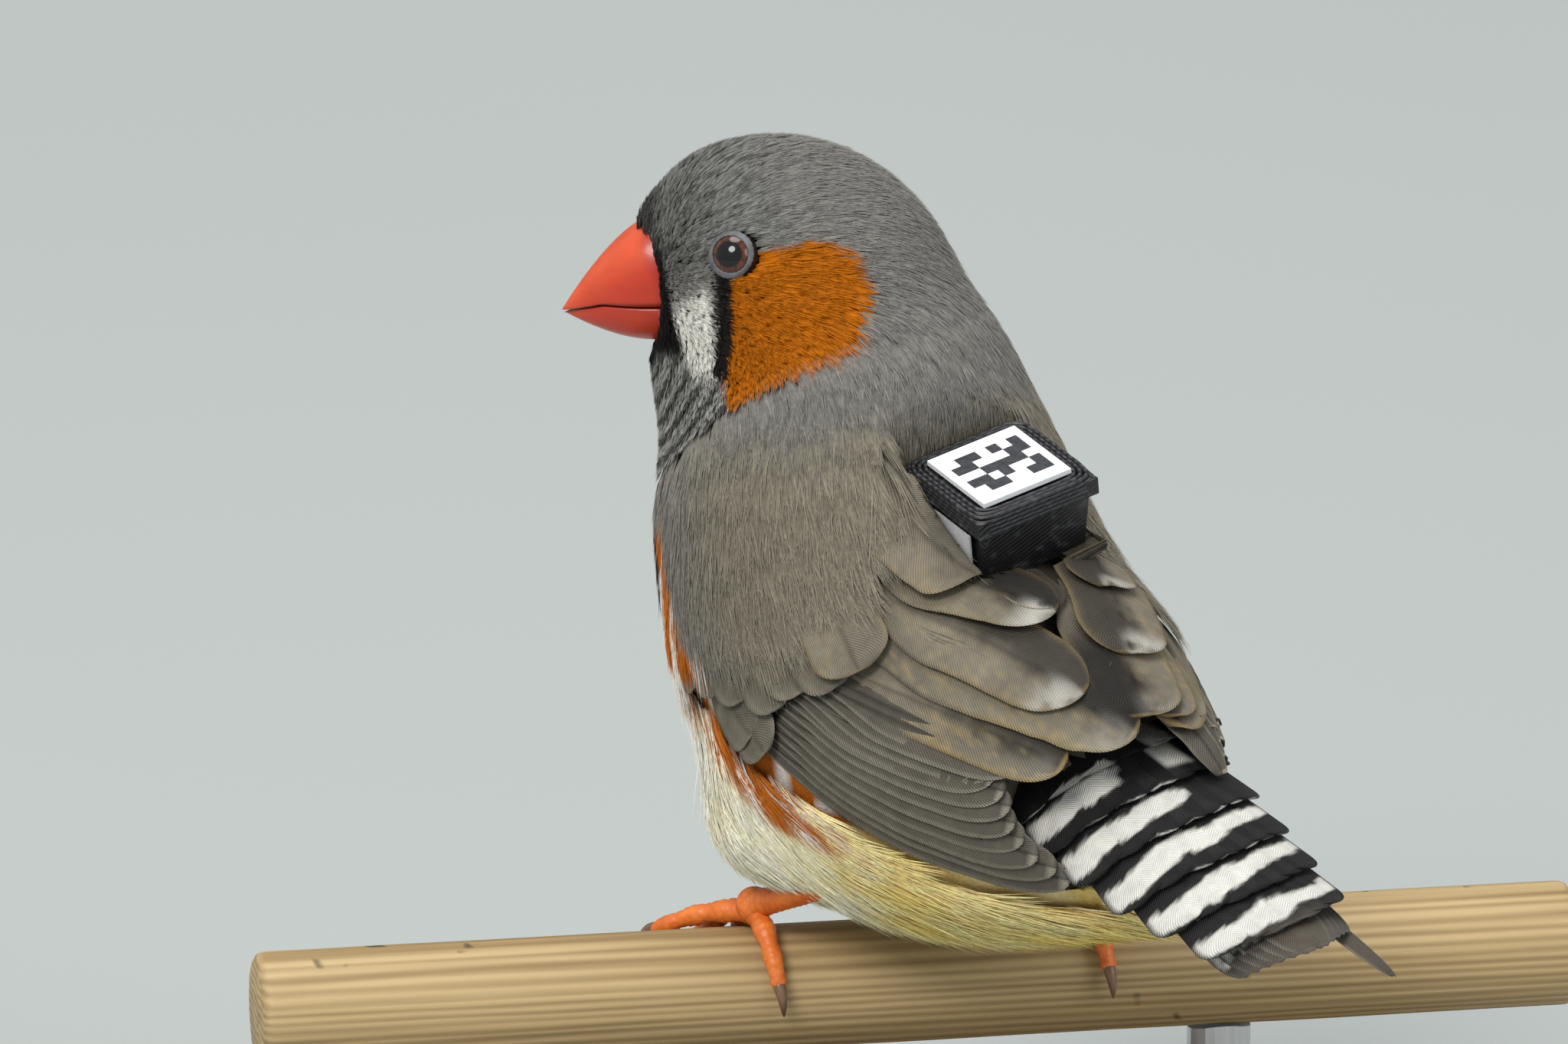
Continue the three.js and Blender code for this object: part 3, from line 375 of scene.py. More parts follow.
def trunk_coordinates(p):
    """How far along the trunk a point lies, and its degrees from the back, left positive."""
    _, along = trunk_distance(p)
    centre, _, back = trunk_frame(along)
    q = p - centre
    return along, np.degrees(np.arctan2(q[:, 0], np.sum(q * back, axis=1)))


def body_distance(p, rooms=True):
    """Distance to the body's outer surface, negative inside, with room left for the tail and the tag."""
    d, _ = trunk_distance(p)
    for side in (-1, 1):
        d = smooth_min(d, np.linalg.norm(p - THIGH * (side, 1, 1), axis=1) - THIGH_RADIUS, THIGH_BLEND)
    d = smooth_min(d, head_distance(p), NECK_BLEND)
    if not rooms:
        return d
    start, spread, depth = TAIL_ROOM
    along, degrees = tail_coordinates(p)
    above = tail_radius(p) - TAIL_ARCH + depth
    beside = np.radians(spread - np.abs(degrees)) * TAIL_ARCH
    tail_room = np.minimum(np.minimum(along - start, beside), above)
    x, y, z = tag_coordinates(p)
    half = TAG_SIZE / 2 + TAG_ROOM
    tag_room = np.minimum(np.minimum(half - np.abs(x), half - np.abs(y)), z + TAG_DEPTH)
    return -smooth_min(smooth_min(-d, -tail_room, TAIL_ROOM_BLEND), -tag_room, TAG_ROOM_BLEND)


def outward(p, rooms=True):
    """Way straight off the body's surface."""
    e = 0.15
    ends = [body_distance(p + s, rooms) - body_distance(p - s, rooms) for s in np.eye(3) * e]
    return unit(np.stack(ends, axis=1))


def settle(p, height, rounds=3, rooms=True):
    """Points moved along the field towards the given height over the body."""
    for _ in range(rounds):
        p = p + outward(p, rooms) * (height - body_distance(p, rooms))[:, None]
    return p


def seen(pixels):
    """Places on the body behind full-frame pixels. Beside the body it is the ray's nearest place to it."""
    pixels = np.atleast_2d(np.asarray(pixels, float))
    ahead = unit(TARGET - CAMERA)
    right = unit(np.cross(ahead, [0.0, 0.0, 1.0]))
    up = np.cross(right, ahead)
    across = (pixels - np.array(FRAME) / 2) / FRAME[0] * SENSOR / LENS
    way = unit(ahead + across[:, :1] * right - across[:, 1:] * up)
    depth = np.linalg.norm(TARGET - CAMERA) + np.arange(-45, 45, 0.25)
    places = CAMERA + way[:, None] * depth[:, None]
    gaps = body_distance(places.reshape(-1, 3), False).reshape(len(pixels), -1)
    inside = gaps < 0
    chosen = np.where(inside.any(axis=1), inside.argmax(axis=1), gaps.argmin(axis=1))
    return places[np.arange(len(pixels)), chosen]


def on_tail(along, degrees, height):
    angle = np.radians(degrees)
    radius = TAIL_ARCH + height
    middle = TAIL_ORIGIN + np.multiply.outer(along, TAIL_WAY) + (radius * np.sin(angle))[:, None] * TAIL_SIDE
    return middle + (radius * np.cos(angle) - TAIL_ARCH)[:, None] * TAIL_TOP


def tail_radius(p):
    q = p - TAIL_ORIGIN
    return np.hypot(q @ TAIL_SIDE, q @ TAIL_TOP + TAIL_ARCH)


def tail_coordinates(p):
    q = p - TAIL_ORIGIN
    side, top = q @ TAIL_SIDE, q @ TAIL_TOP + TAIL_ARCH
    return q @ TAIL_WAY, np.degrees(np.arctan2(side, top))


# Markings

CHIN = head_point(0.5, 0, -3.4)
CHEEK = np.array([  # outline of the orange patch: forward and up of the bill's base
    (-6.7, 1.2), (-9.8, 1.9), (-13.4, 1.3), (-16.0, -0.8), (-16.4, -4.0), (-14.4, -7.4), (-11.0, -9.9),
    (-6.3, -11.4), (-2.4, -10.6), (-2.7, -7.0), (-4.3, -3.0), (-5.2, -0.6),
])
TEAR_LINE = ((-5.6, 1.0), (-4.9, -1.2), (-4.1, -3.4), (-2.8, -6.0))


def line_distance(x, y, line):
    best = np.full(len(x), 1e9)
    for (ax, ay), (bx, by) in zip(line[:-1], line[1:]):
        dx, dy = bx - ax, by - ay
        u = np.clip(((x - ax) * dx + (y - ay) * dy) / (dx * dx + dy * dy), 0, 1)
        best = np.minimum(best, np.hypot(x - ax - u * dx, y - ay - u * dy))
    return best


def outline_distance(x, y, outline):
    """Distance to a closed outline, negative inside."""
    loop = np.concatenate([outline, outline[:1]])
    inside = np.zeros(len(x), bool)
    for (ax, ay), (bx, by) in zip(loop[:-1], loop[1:]):
        inside ^= ((ay > y) != (by > y)) & (x < (bx - ax) * (y - ay) / (by - ay + 1e-12) + ax)
    edge = line_distance(x, y, loop)
    return np.where(inside, -edge, edge)


def bars_round_chin(p, spacing, ragged):
    """Waves of dark and light round the chin, from 0 to 1."""
    return 0.5 + 0.5 * np.sin(np.linalg.norm(p - CHIN, axis=1) * 2 * math.pi / spacing + ragged)


def body_colour(p, t, degrees):
    """Markings of the neck and trunk, from the place along it and the angle from the back."""
    side = np.abs(degrees)
    ragged = (noise(p, 1.6, 3) - 0.5) * 5
    colour = mix(GREY, BROWN, smoothstep(t + ragged * 0.5, 11, 17) * (1 - 0.8 * smoothstep(side, 75, 105)))
    low = wing_low_edge(np.clip(t, 16, 60))
    edge = side + ragged
    belly = mix(CREAM, BUFF, smoothstep(t + ragged, 27, 44) * (0.55 + 0.45 * noise(p, 2.5, 4)))
    colour = mix(colour, belly, smoothstep(edge, low - 4, low + 1) * smoothstep(t + ragged * 0.5, 17.5, 19.5))
    flank = smoothstep(edge, low - 4, low - 1) * falling(edge, low + 17, low + 21)
    flank *= smoothstep(t + ragged * 0.4, 16, 18) * falling(t + ragged, 35, 38)
    colour = mix(colour, CHESTNUT, flank)
    colour = mix(colour, WHITE, flank * smoothstep(noise(p, 1.9, 5), 0.55, 0.62))
    bars = smoothstep(bars_round_chin(p, 1.5, ragged * 0.25), 0.35, 0.75)
    front = smoothstep(side, 112, 124) * falling(t, 19.2, 20) * smoothstep(t, 5, 9)
    colour = mix(colour, mix(THROAT, BLACK, bars * 0.85), front)
    across = t + ragged * 0.3
    band = smoothstep(side, 114, 122) * smoothstep(across, 17.4, 18) * falling(across, 20.4, 21)
    colour = mix(colour, BLACK, band)
    return mix(colour, WHITE, falling(side, 60, 80) * smoothstep(across, 47, 48.5))


def head_colour(p):
    """Markings of the head, from the place forward, left and up of the bill's base."""
    forward, left, up = head_coordinates(p)
    side = np.abs(left)
    ragged = (noise(p, 0.9, 7) - 0.5) * 0.9

    crown = smoothstep(up, 0.5, 3.5) * smoothstep(forward, -15, -8)
    stretched = p + HEAD_FORWARD * (forward * -0.45)[:, None]
    speckle = smoothstep(noise(stretched, 0.45, 8), 0.50, 0.66) * crown * smoothstep(forward, -17, -9)
    colour = mix(mix(GREY, CROWN, crown), SPECKLE, speckle * 0.65)

    colour = mix(colour, THROAT, smoothstep(forward, -5, -2) * smoothstep(-up, 3, 5))
    barred = smoothstep(forward, -6.5, -3.5) * smoothstep(-up, 4.0, 5.5)
    bars = smoothstep(bars_round_chin(p, 1.6, ragged * 1.2), 0.40, 0.75)
    colour = mix(colour, SPECKLE, bars * barred * 0.95)

    stripe = smoothstep(forward + up * 0.23 + ragged * 0.3, -4.4, -3.7) * smoothstep(up, -7.2, -5.6)
    stripe *= falling(up + forward * 0.5, -2.2, -0.6) * falling(forward, -0.7, 0.1)
    stripe_white = mix(THROAT * 1.15, WHITE, smoothstep(-up, -1.5, 1.0))
    colour = mix(colour, stripe_white, stripe * smoothstep(side, 3.0, 4.0))

    cheek = falling(outline_distance(forward, up, CHEEK) + ragged * 0.5, -0.25, 0.3)
    orange = ORANGE * (0.86 + 0.28 * noise(p, 1.4, 9))[:, None]
    colour = mix(colour, orange, cheek * smoothstep(side, 4.5, 5.5))
    tear = falling(line_distance(forward, up, TEAR_LINE) + ragged * 0.25, 0.5, 0.78)
    colour = mix(colour, BLACK, tear * smoothstep(side, 4.5, 5.5))

    beside_bill = smoothstep(forward + 0.12 * up + ragged * 0.3, -1.05, -0.55) * smoothstep(up, -5.6, -4.2)
    colour = mix(colour, BLACK, beside_bill * falling(up, 3.4, 4.4))
    rim = np.hypot(left / 4.2, (up - 0.1) / 5.2)
    border = falling(rim + ragged * 0.06, 1.30, 1.40) * smoothstep(forward, -4.5, -3.0)
    return mix(colour, BLACK, border * (1 - 0.3 * smoothstep(up, 2.6, 4.6)))


def plumage_colour(p):
    over_neck = smoothstep(head_distance(p), 4.8, 6.8)
    return np.clip(mix(head_colour(p), body_colour(p, *trunk_coordinates(p)), over_neck), 0, 1)


# Meshes

def build(name, points, triangles, material, colour=None, uv=None, smooth=True, bake=None):
    """An object from points in millimetres and triangles, which rides on the one body."""
    mesh = bpy.data.meshes.new(name)
    triangles = np.asarray(triangles, np.int32)
    corners = triangles.ravel()
    mesh.vertices.add(len(points))
    mesh.vertices.foreach_set("co", (np.asarray(points) * MM).astype(np.float32).ravel())
    mesh.loops.add(triangles.size)
    mesh.loops.foreach_set("vertex_index", corners)
    mesh.polygons.add(len(triangles))
    mesh.polygons.foreach_set("loop_start", np.arange(0, triangles.size, 3, dtype=np.int32))
    mesh.polygons.foreach_set("use_smooth", np.full(len(triangles), smooth))
    mesh.update(calc_edges=True)
    for layer, values in (("OFBake", bake), ("Vane", uv)):
        if values is not None:
            places = values[corners].astype(np.float32).ravel()
            mesh.uv_layers.new(name=layer).uv.foreach_set("vector", places)
    if colour is not None:
        rgba = np.c_[colour, np.ones(len(colour))].astype(np.float32)
        mesh.color_attributes.new("Markings", "FLOAT_COLOR", "POINT").data.foreach_set("color", rgba.ravel())
    mesh.materials.append(material)
    obj = bpy.data.objects.new(name, mesh)
    bpy.context.scene.collection.objects.link(obj)
    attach(obj, "root")
    return obj


def mesh_arrays(mesh):
    """Points in metres and triangles of a mesh."""
    mesh.calc_loop_triangles()
    co = np.zeros(len(mesh.vertices) * 3, np.float32)
    mesh.vertices.foreach_get("co", co)
    index = np.zeros(len(mesh.loop_triangles) * 3, np.int32)
    mesh.loop_triangles.foreach_get("vertices", index)
    return co.reshape(-1, 3), index.reshape(-1, 3)


def merged(pieces):
    points, faces, first = [], [], 0
    for p, t in pieces:
        points.append(p)
        faces.append(t + first)
        first += len(p)
    return np.concatenate(points), np.concatenate(faces)


def circle(count):
    return 2 * np.pi * np.arange(count) / count


def ring_triangles(rings, around):
    """Triangles between rings of points that close on themselves."""
    i, k = np.meshgrid(np.arange(rings - 1), np.arange(around), indexing="ij")
    a = (i * around + k).ravel()
    b = (i * around + (k + 1) % around).ravel()
    c, d = a + around, b + around
    return np.concatenate([np.stack([a, c, b], 1), np.stack([b, c, d], 1)])


def looped_triangles(rings, around):
    """Triangles between rings of which the last is joined to the first."""
    wrap = ring_triangles(2, around)
    wrap = np.where(wrap < around, wrap + (rings - 1) * around, wrap - around)
    return np.concatenate([ring_triangles(rings, around), wrap])


def capped(rings, ends=None):
    """Points and triangles of a stack of rings, closed by a fan round each of its two end points."""
    around = len(rings[0])
    first_end, last_end = ends or (rings[0].mean(0), rings[-1].mean(0))
    points = np.concatenate([*rings, [first_end], [last_end]])
    k = np.arange(around)
    after = (k + 1) % around
    last = (len(rings) - 1) * around
    first_fan = np.stack([np.full(around, len(points) - 2), k, after], 1)
    last_fan = np.stack([np.full(around, len(points) - 1), last + after, last + k], 1)
    return points, np.concatenate([ring_triangles(len(rings), around), first_fan, last_fan])


def oriented(points, faces, middle):
    """Faces turned so that they look away from a point inside."""
    a, b, c = (points[faces[:, j]] for j in range(3))
    volume = np.sum(np.cross(b - a, c - a) * ((a + b + c) / 3 - middle))
    return faces if volume > 0 else faces[:, ::-1]


def sphere(centre, radius, around, rows):
    """Closed ball as points and triangles."""
    theta, phi = np.pi * np.arange(1, rows) / rows, circle(around)
    rings = np.stack([
        np.outer(np.sin(theta), np.cos(phi)), np.outer(np.sin(theta), np.sin(phi)),
        np.outer(np.cos(theta), np.ones(around)),
    ], axis=-1)
    points, triangles = capped(rings, ((0, 0, 1), (0, 0, -1)))
    return points * radius + centre, triangles


def tube(line, radii, sides):
    """Closed tube along a line of points."""
    line = np.asarray(line, float)
    ahead = unit(np.gradient(line, axis=0))
    across = unit(np.array([ahead[0, 1], -ahead[0, 0], 0.3]))
    angles = circle(sides)
    rings = []
    for centre, way, radius in zip(line, ahead, radii):
        across = unit(across - way * (across @ way))
        sideways, upright = (np.cos(angles) * radius)[:, None], (np.sin(angles) * radius)[:, None]
        rings.append(centre + sideways * across + upright * np.cross(way, across))
    points, faces = capped(rings, (line[0], line[-1]))
    return points, faces[:, ::-1]


# Materials

class Shader:
    """A material's node tree, with short calls for the nodes that these materials use."""

    def __init__(self, name, **sockets):
        self.material = bpy.data.materials.new(name)
        self.material.use_nodes = True
        self.tree = self.material.node_tree
        self.surface = self.tree.nodes["Principled BSDF"]
        for socket, value in sockets.items():
            self.set(socket.replace("_", " "), value)

    def node(self, kind, values=(), **settings):
        made = self.tree.nodes.new(kind)
        for key, value in settings.items():
            setattr(made, key, value)
        for i, value in dict(values).items():
            if isinstance(value, bpy.types.NodeSocket):
                self.tree.links.new(value, made.inputs[i])
            else:
                made.inputs[i].default_value = value
        return made

    def set(self, socket, value):
        if isinstance(value, bpy.types.NodeSocket):
            self.tree.links.new(value, self.surface.inputs[socket])
        elif socket == "Base Color":
            self.surface.inputs[socket].default_value = (*value, 1)
        else:
            self.surface.inputs[socket].default_value = value

    def math(self, operation, *inputs):
        return self.node("ShaderNodeMath", dict(enumerate(inputs)), operation=operation).outputs[0]

    def place(self):
        return self.node("ShaderNodeTexCoord").outputs["Object"]

    def noise(self, scale, detail=3.0, stretch=None, where=None):
        where = where or self.place()
        if stretch is not None:
            where = self.node("ShaderNodeMapping", {"Vector": where, "Scale": stretch}).outputs[0]
        inputs = {"Vector": where, "Scale": scale, "Detail": detail}
        return self.node("ShaderNodeTexNoise", inputs).outputs["Fac"]

    def ramp(self, value, *stops):
        made = self.node("ShaderNodeValToRGB", {"Fac": value})
        while len(made.color_ramp.elements) < len(stops):
            made.color_ramp.elements.new(0.5)
        for element, (position, colour) in zip(made.color_ramp.elements, stops):
            element.position = position
            element.color = (*colour, 1)
        return made.outputs["Color"]

    def span(self, value, low, high, to_low=0.0, to_high=1.0):
        inputs = {"Value": value, 1: low, 2: high, 3: to_low, 4: to_high}
        return self.node("ShaderNodeMapRange", inputs).outputs[0]

    def blend(self, kind, share, a, b):
        inputs = {0: share, 6: a, 7: b}
        return self.node("ShaderNodeMix", inputs, data_type="RGBA", blend_type=kind).outputs[2]

    def marked(self, shade):
        """The markings painted on the mesh, made lighter and darker by a shade."""
        marks = self.node("ShaderNodeVertexColor", layer_name="Markings").outputs["Color"]
        return self.blend("MULTIPLY", 1.0, marks, shade)

    def bump(self, height, depth):
        self.set("Normal", self.node("ShaderNodeBump", {"Height": height, "Distance": depth * MM}).outputs[0])

    def grain(self, scale, depth, detail=2.0):
        self.bump(self.noise(scale, detail), depth)


def plumage_material(name, barbs, roughness):
    """Feathers coloured by their own markings, with uneven light and dark."""
    shader = Shader(name, Roughness=roughness, Specular_IOR_Level=0.08)
    shade = shader.ramp(shader.noise(2600, 2.0), (0.25, (0.78, 0.78, 0.78)), (0.75, (1.12, 1.11, 1.09)))
    shader.set("Base Color", shader.marked(shade))
    shader.grain(5200, barbs)
    return shader.material


def vane_material():
    """Wing and tail feathers: barbs slanting off the shaft, coloured by their own markings."""
    shader = Shader("vane", Roughness=0.6, Specular_IOR_Level=0.22)
    place = shader.node("ShaderNodeUVMap", uv_map="Vane").outputs[0]
    parts = shader.node("ShaderNodeSeparateXYZ", {0: place}).outputs
    off_shaft = shader.math("ABSOLUTE", parts[1])
    slant = shader.math("SUBTRACT", parts[0], shader.math("MULTIPLY", off_shaft, BARB_SLANT))
    barb = shader.math("SINE", shader.math("MULTIPLY", slant, 2 * math.pi / BARB_SPACING))
    wisps = shader.ramp(shader.noise(900, 3.0), (0.2, (0.82, 0.82, 0.82)), (0.8, (1.14, 1.13, 1.1)))
    strands = shader.span(barb, -1.0, 1.0, 0.80, 1.14)
    shader.set("Base Color", shader.blend("MULTIPLY", 1.0, shader.marked(wisps), strands))
    shader.bump(barb, 0.035)
    return shader.material


def mottled(name, roughness, scale, dark, light, detail=3.0, stretch=None):
    """Shader whose colour wanders between two tones."""
    shader = Shader(name, Roughness=roughness)
    shader.set("Base Color", shader.ramp(shader.noise(scale, detail, stretch), (0.3, dark), (0.7, light)))
    return shader


def dress(material, *names):
    """Gives nodes that the scene keeps as they are their material."""
    for name in names:
        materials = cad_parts[name].data.materials
        materials.clear()
        materials.append(material)


# One skin under the coat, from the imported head, neck, torso and thighs

def joined_flesh():
    """Solid flesh as one soup of triangles, with balls where the torso makes room for the tail's base."""
    pieces = []
    for name in ("head", "neck", "torso", "thigh_left", "thigh_right"):
        points, triangles = mesh_arrays(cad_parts[name].data)
        pieces.append((points / MM, triangles))
    rump = zip(CENTRES[-RUMP_BALLS:], RADII[-RUMP_BALLS:])
    return merged(pieces + [sphere(centre, radius, 20, 12) for centre, radius in rump])


def skin_piece():
    rough = build("skin_rough", *joined_flesh(), SKIN)
    modifier = rough.modifiers.new("remesh", "REMESH")
    modifier.mode = "VOXEL"
    modifier.voxel_size = SKIN_CELL * MM
    made, triangles = mesh_arrays(rough.evaluated_get(bpy.context.evaluated_depsgraph_get()).to_mesh())
    points = made.astype(float) / MM
    rough_mesh = rough.data
    bpy.data.objects.remove(rough)
    bpy.data.meshes.remove(rough_mesh)
    t, degrees = trunk_coordinates(points)
    side = np.abs(degrees)
    under_wing = smoothstep(wing_low_edge(t) - side, 0, 6) * smoothstep(t - wing_front_edge(side), 0, 5)
    under_wing *= smoothstep(head_distance(points), 2, 6)
    points = settle(points, -COAT_DEPTH - WING_DEPTH * under_wing, rounds=4)
    # Painted shade: the skin takes the coat's markings dimmed, as deep under the coat, and a dark brown under
    # the wings.
    colour = mix(plumage_colour(points) * 0.85, BROWN * 0.4, under_wing)
    skin = build("skin", points, triangles, SKIN, colour=colour)
    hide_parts("head", "neck", "torso", "thigh_left", "thigh_right")
    return points, triangles


# Coat: each tuft is a fan of leaf-shaped blades that lies along the body

def lie(p, normal, over_head):
    """Way that the feathers point: back from the bill on the head, along the trunk behind it."""
    t, degrees = trunk_coordinates(p)
    _, way, _ = trunk_frame(t)
    sag = smoothstep(np.abs(degrees), 60, 140)[:, None] * np.array([0, 0, -0.35])
    from_bill = unit(p - head_point(-1.0, 0, -0.5))
    flow = mix(unit(way + sag), from_bill, np.broadcast_to(over_head, len(p)))
    return unit(flow - normal * np.sum(flow * normal, axis=1, keepdims=True))


def spread_points(points, triangles, count, weight, generator):
    """Places spread evenly over a surface, with more where the weight of a triangle is larger."""
    a, b, c = (points[triangles[:, k]] for k in range(3))
    share = np.cumsum(np.linalg.norm(np.cross(b - a, c - a), axis=1) * weight)
    drawn = (np.arange(count) + generator.random(count)) / count * share[-1]
    face = np.minimum(np.searchsorted(share, drawn), len(triangles) - 1)
    u, v = generator.random((2, count))
    over = u + v > 1
    u, v = np.where(over, 1 - u, u)[:, None], np.where(over, 1 - v, v)[:, None]
    return a[face] * (1 - u - v) + b[face] * u + c[face] * v


def unwrap(p, over_head):
    """Place on the coat's own unwrap: the trunk below, the head above."""
    t, degrees = trunk_coordinates(p)
    trunk = np.stack([degrees / 360 + 0.5, 0.02 + 0.6 * t / TRUNK_LENGTH], axis=1)
    forward, left, up = head_coordinates(p)
    forward, up = forward + 9, up + 3
    polar = np.arccos(np.clip(forward / np.linalg.norm(np.stack([forward, left, up]), axis=0), -1, 1))
    head = np.stack([np.arctan2(left, up) / (2 * np.pi) + 0.5, 0.66 + 0.32 * polar / np.pi], axis=1)
    return np.where(over_head[:, None] > 0.5, head, trunk)


def tufts(name, roots, style, generator):
    """Coat pieces from places on the body and a dictionary that says how each tuft grows."""
    n, blades, over_head = len(roots), style["blades"], style["over_head"]
    normal = outward(roots)
    low = -style["root_depth"]
    roots = settle(roots, low, rounds=2)
    first_way = lie(roots, normal, over_head)
    turn = np.radians(generator.normal(0, TUFT_SWING, n))[:, None]
    first_way = first_way * np.cos(turn) + np.cross(normal, first_way) * np.sin(turn)
    length = np.minimum(style["length"] * generator.uniform(0.82, 1.15, n), tag_reach(roots, first_way))
    grown = np.clip(1.3 * length / style["length"], 0, 1)
    middle_height, tip_height = (low + (style[key] - low) * grown for key in ("middle_height", "tip_height"))
    half_way = (length * 0.5)[:, None]
    middle = settle(roots + first_way * half_way, middle_height, rounds=2)
    middle_normal = outward(middle)
    swung = np.cross(middle_normal, first_way) * np.sin(turn)
    next_way = lie(middle, middle_normal, over_head) * np.cos(turn) + swung
    tip = settle(middle + next_way * half_way, tip_height, rounds=2)
    control = 2 * middle - (roots + tip) / 2
    side = np.cross(normal, first_way)
    width = style["width"][:, None]

    points = np.zeros((n, blades, BLADE_POINTS, 3))
    for j, place in enumerate(np.linspace(-1, 1, blades)):
        reach = (1 - 0.22 * abs(place)) * generator.uniform(0.85, 1.08, n)
        lift = generator.normal(0, 0.05, n)[:, None] * style["loose"][:, None]
        fan = place + generator.normal(0, 0.12, n)

        def centre(along):
            s = (along * reach)[:, None]
            curve = roots * (1 - s) ** 2 + control * 2 * s * (1 - s) + tip * s ** 2
            spread = (0.35 + 0.65 * s) * style["spread"][:, None] * fan[:, None]
            return curve + side * spread + normal * (lift * s * length[:, None] - 0.10 * abs(place) * s)

        widest = centre(BLADE_WIDEST)
        points[:, j] = np.stack([
            centre(0.0), widest - side * width * 0.5, widest + side * width * 0.5,
            widest + normal * width * 0.25, centre(1.0),
        ], axis=1)
    along = np.tile((0, BLADE_WIDEST, BLADE_WIDEST, BLADE_WIDEST, 1), blades)
    coat_pieces(name, points, along, unwrap(roots, over_head), generator)


def coat_pieces(name, points, along, patch, generator):
    """Pieces of whole tufts under the limit of triangles. Each blade has the marking at its own tip, and
    painted shade makes it darker towards its root, deep in the coat.
    """
    n, blades = points.shape[:2]
    flat = points.reshape(-1, 3)
    triangles = (np.arange(n * blades)[:, None, None] * BLADE_POINTS + BLADE_FACES[None]).reshape(-1, 3)
    jitter = generator.normal(0, 0.12, (n * blades, 3))
    colours = np.repeat(plumage_colour(points[:, :, -1].reshape(-1, 3) + jitter), BLADE_POINTS, axis=0)
    uneven = np.repeat(generator.normal(1, 0.11, n * blades), BLADE_POINTS)
    # Painted shade: each blade darker towards its root, deep in the coat, and lighter at its tip.
    colours = np.clip(colours * (np.tile(0.84 + 0.28 * along, n) * uneven)[:, None], *ALBEDO)
    within = np.stack([np.repeat(np.linspace(0, 1, blades), BLADE_POINTS), along], axis=-1)
    bake = np.repeat(patch, blades * BLADE_POINTS, axis=0) + np.tile(within, (n, 1)) * BAKE_PATCH
    per_tuft = blades * len(BLADE_FACES)
    room = PIECE_TRIANGLES // per_tuft
    for k, start in enumerate(range(0, n, room)):
        stop = min(start + room, n)
        low, high = start * blades * BLADE_POINTS, stop * blades * BLADE_POINTS
        piece = build(
            f"{name}_{k + 1}", flat[low:high], triangles[start * per_tuft:stop * per_tuft] - low, PLUMAGE,
            colour=colours[low:high], bake=bake[low:high], smooth=False,
        )


def near_tag(p, margin, low=-7.5, high=3.0):
    """Whether a point lies in the room that the tag takes, with a margin beside it."""
    x, y, z = tag_coordinates(p)
    half = TAG_SIZE / 2 + margin
    return (np.abs(x) < half) & (np.abs(y) < half) & (z > low) & (z < high)


def tag_reach(p, way):
    """How far a tuft can grow before it meets the tag."""
    reach = np.full(len(p), 99.0)
    for step in np.arange(8.5, 0.4, -0.5):
        ahead = settle(p + way * step, 0.3, rounds=1)
        reach = np.where(near_tag(ahead, 0.15), step - 0.4, reach)
    return np.maximum(reach, 0.6)


def bare_skin(p, over_head, feathers):
    """Whether no tuft grows at a place: under a vane, in the bill, at an eye, at the tag or on the tail."""
    t, _ = trunk_coordinates(p)
    forward, left, up = head_coordinates(p)
    bill_edge = np.interp(up, (-5, 3, 5), (-4.0, -2.0, 1.0))
    in_bill = (np.hypot(left / 4.1, (up - 0.05) / 5.0) < 1.0) & (forward > bill_edge)
    at_eye = np.minimum(*(np.linalg.norm(p - eye_seat(s)[0], axis=1) for s in (-1, 1))) < EYE_OPENING
    to_vane = np.array([feathers.find(place)[2] for place in settle(p, -0.3, rounds=1)])
    under_vane = (to_vane < 1.3 + 1.4 * smoothstep(t, 34, 44)) & (over_head < 0.5)
    along, degrees = tail_coordinates(p)
    on_tail_top = (along > -1.0) & (np.abs(degrees) < 40) & (tail_radius(p) > TAIL_ARCH - 5.0)
    return under_vane | in_bill | at_eye | near_tag(p, 0.2) | on_tail_top | (t > 60)


def grow_coat(points, triangles, feathers):
    """Tufts over the skin, short on the face and long on the belly, from a tree of the vanes' middles."""
    generator = np.random.default_rng(11)
    centres = points[triangles].mean(axis=1)
    side = np.abs(trunk_coordinates(centres)[1])
    forward, _, _ = head_coordinates(centres)

    def on_head(p):
        return falling(head_distance(p), 1.0, 5.0)

    over_head = on_head(centres)
    covered = np.where(bare_skin(centres, over_head, feathers), 0.0, 1.0)

    def roots_for(count, chosen):
        roots = spread_points(points, triangles, count, covered * chosen, generator)
        return roots[tag_reach(roots, lie(roots, outward(roots), 0.0)) > 1.0]

    roots = roots_for(HEAD_TUFTS, (over_head > 0.35) * (1 + 2.2 * smoothstep(forward, -12, -3)))
    long = falling(head_coordinates(roots)[0], -16, -3)
    tufts("coat_head", roots, {
        "blades": 7, "over_head": on_head(roots), "length": 1.5 + 2.1 * long, "width": 0.19 + 0.04 * long,
        "spread": 0.26 + 0.24 * long, "root_depth": 0.75 + 0.25 * long, "middle_height": -0.30,
        "tip_height": -0.02, "loose": np.full(len(roots), 0.4), "slot": "plumage_head",
    }, generator)
    roots = roots_for(BODY_TUFTS, (over_head <= 0.35) * np.where(side < 100, 1.0, 0.8))
    t, degrees = trunk_coordinates(roots)
    side = np.abs(degrees)
    belly = smoothstep(side, 95, 125) * smoothstep(t, 16, 24)
    shoulder = falling(side, 95, 120) * smoothstep(t, 9, 16)
    tufts("coat_body", roots, {
        "blades": 9, "over_head": on_head(roots),
        "length": 3.6 + 1.2 * smoothstep(t, 4, 14) + 2.6 * shoulder + 3.0 * belly,
        "width": 0.20 + 0.06 * belly, "spread": 0.42 + 0.36 * belly + 0.36 * shoulder,
        "root_depth": 0.75 - 0.25 * shoulder, "middle_height": -0.15 + 0.22 * shoulder + 0.1 * belly,
        "tip_height": 0.04 + 0.34 * shoulder + 0.22 * belly, "loose": 0.3 + 0.5 * belly,
        "slot": "plumage_body",
    }, generator)


# Wing and tail feathers: sheets with a shaft, finer and more than the solids'

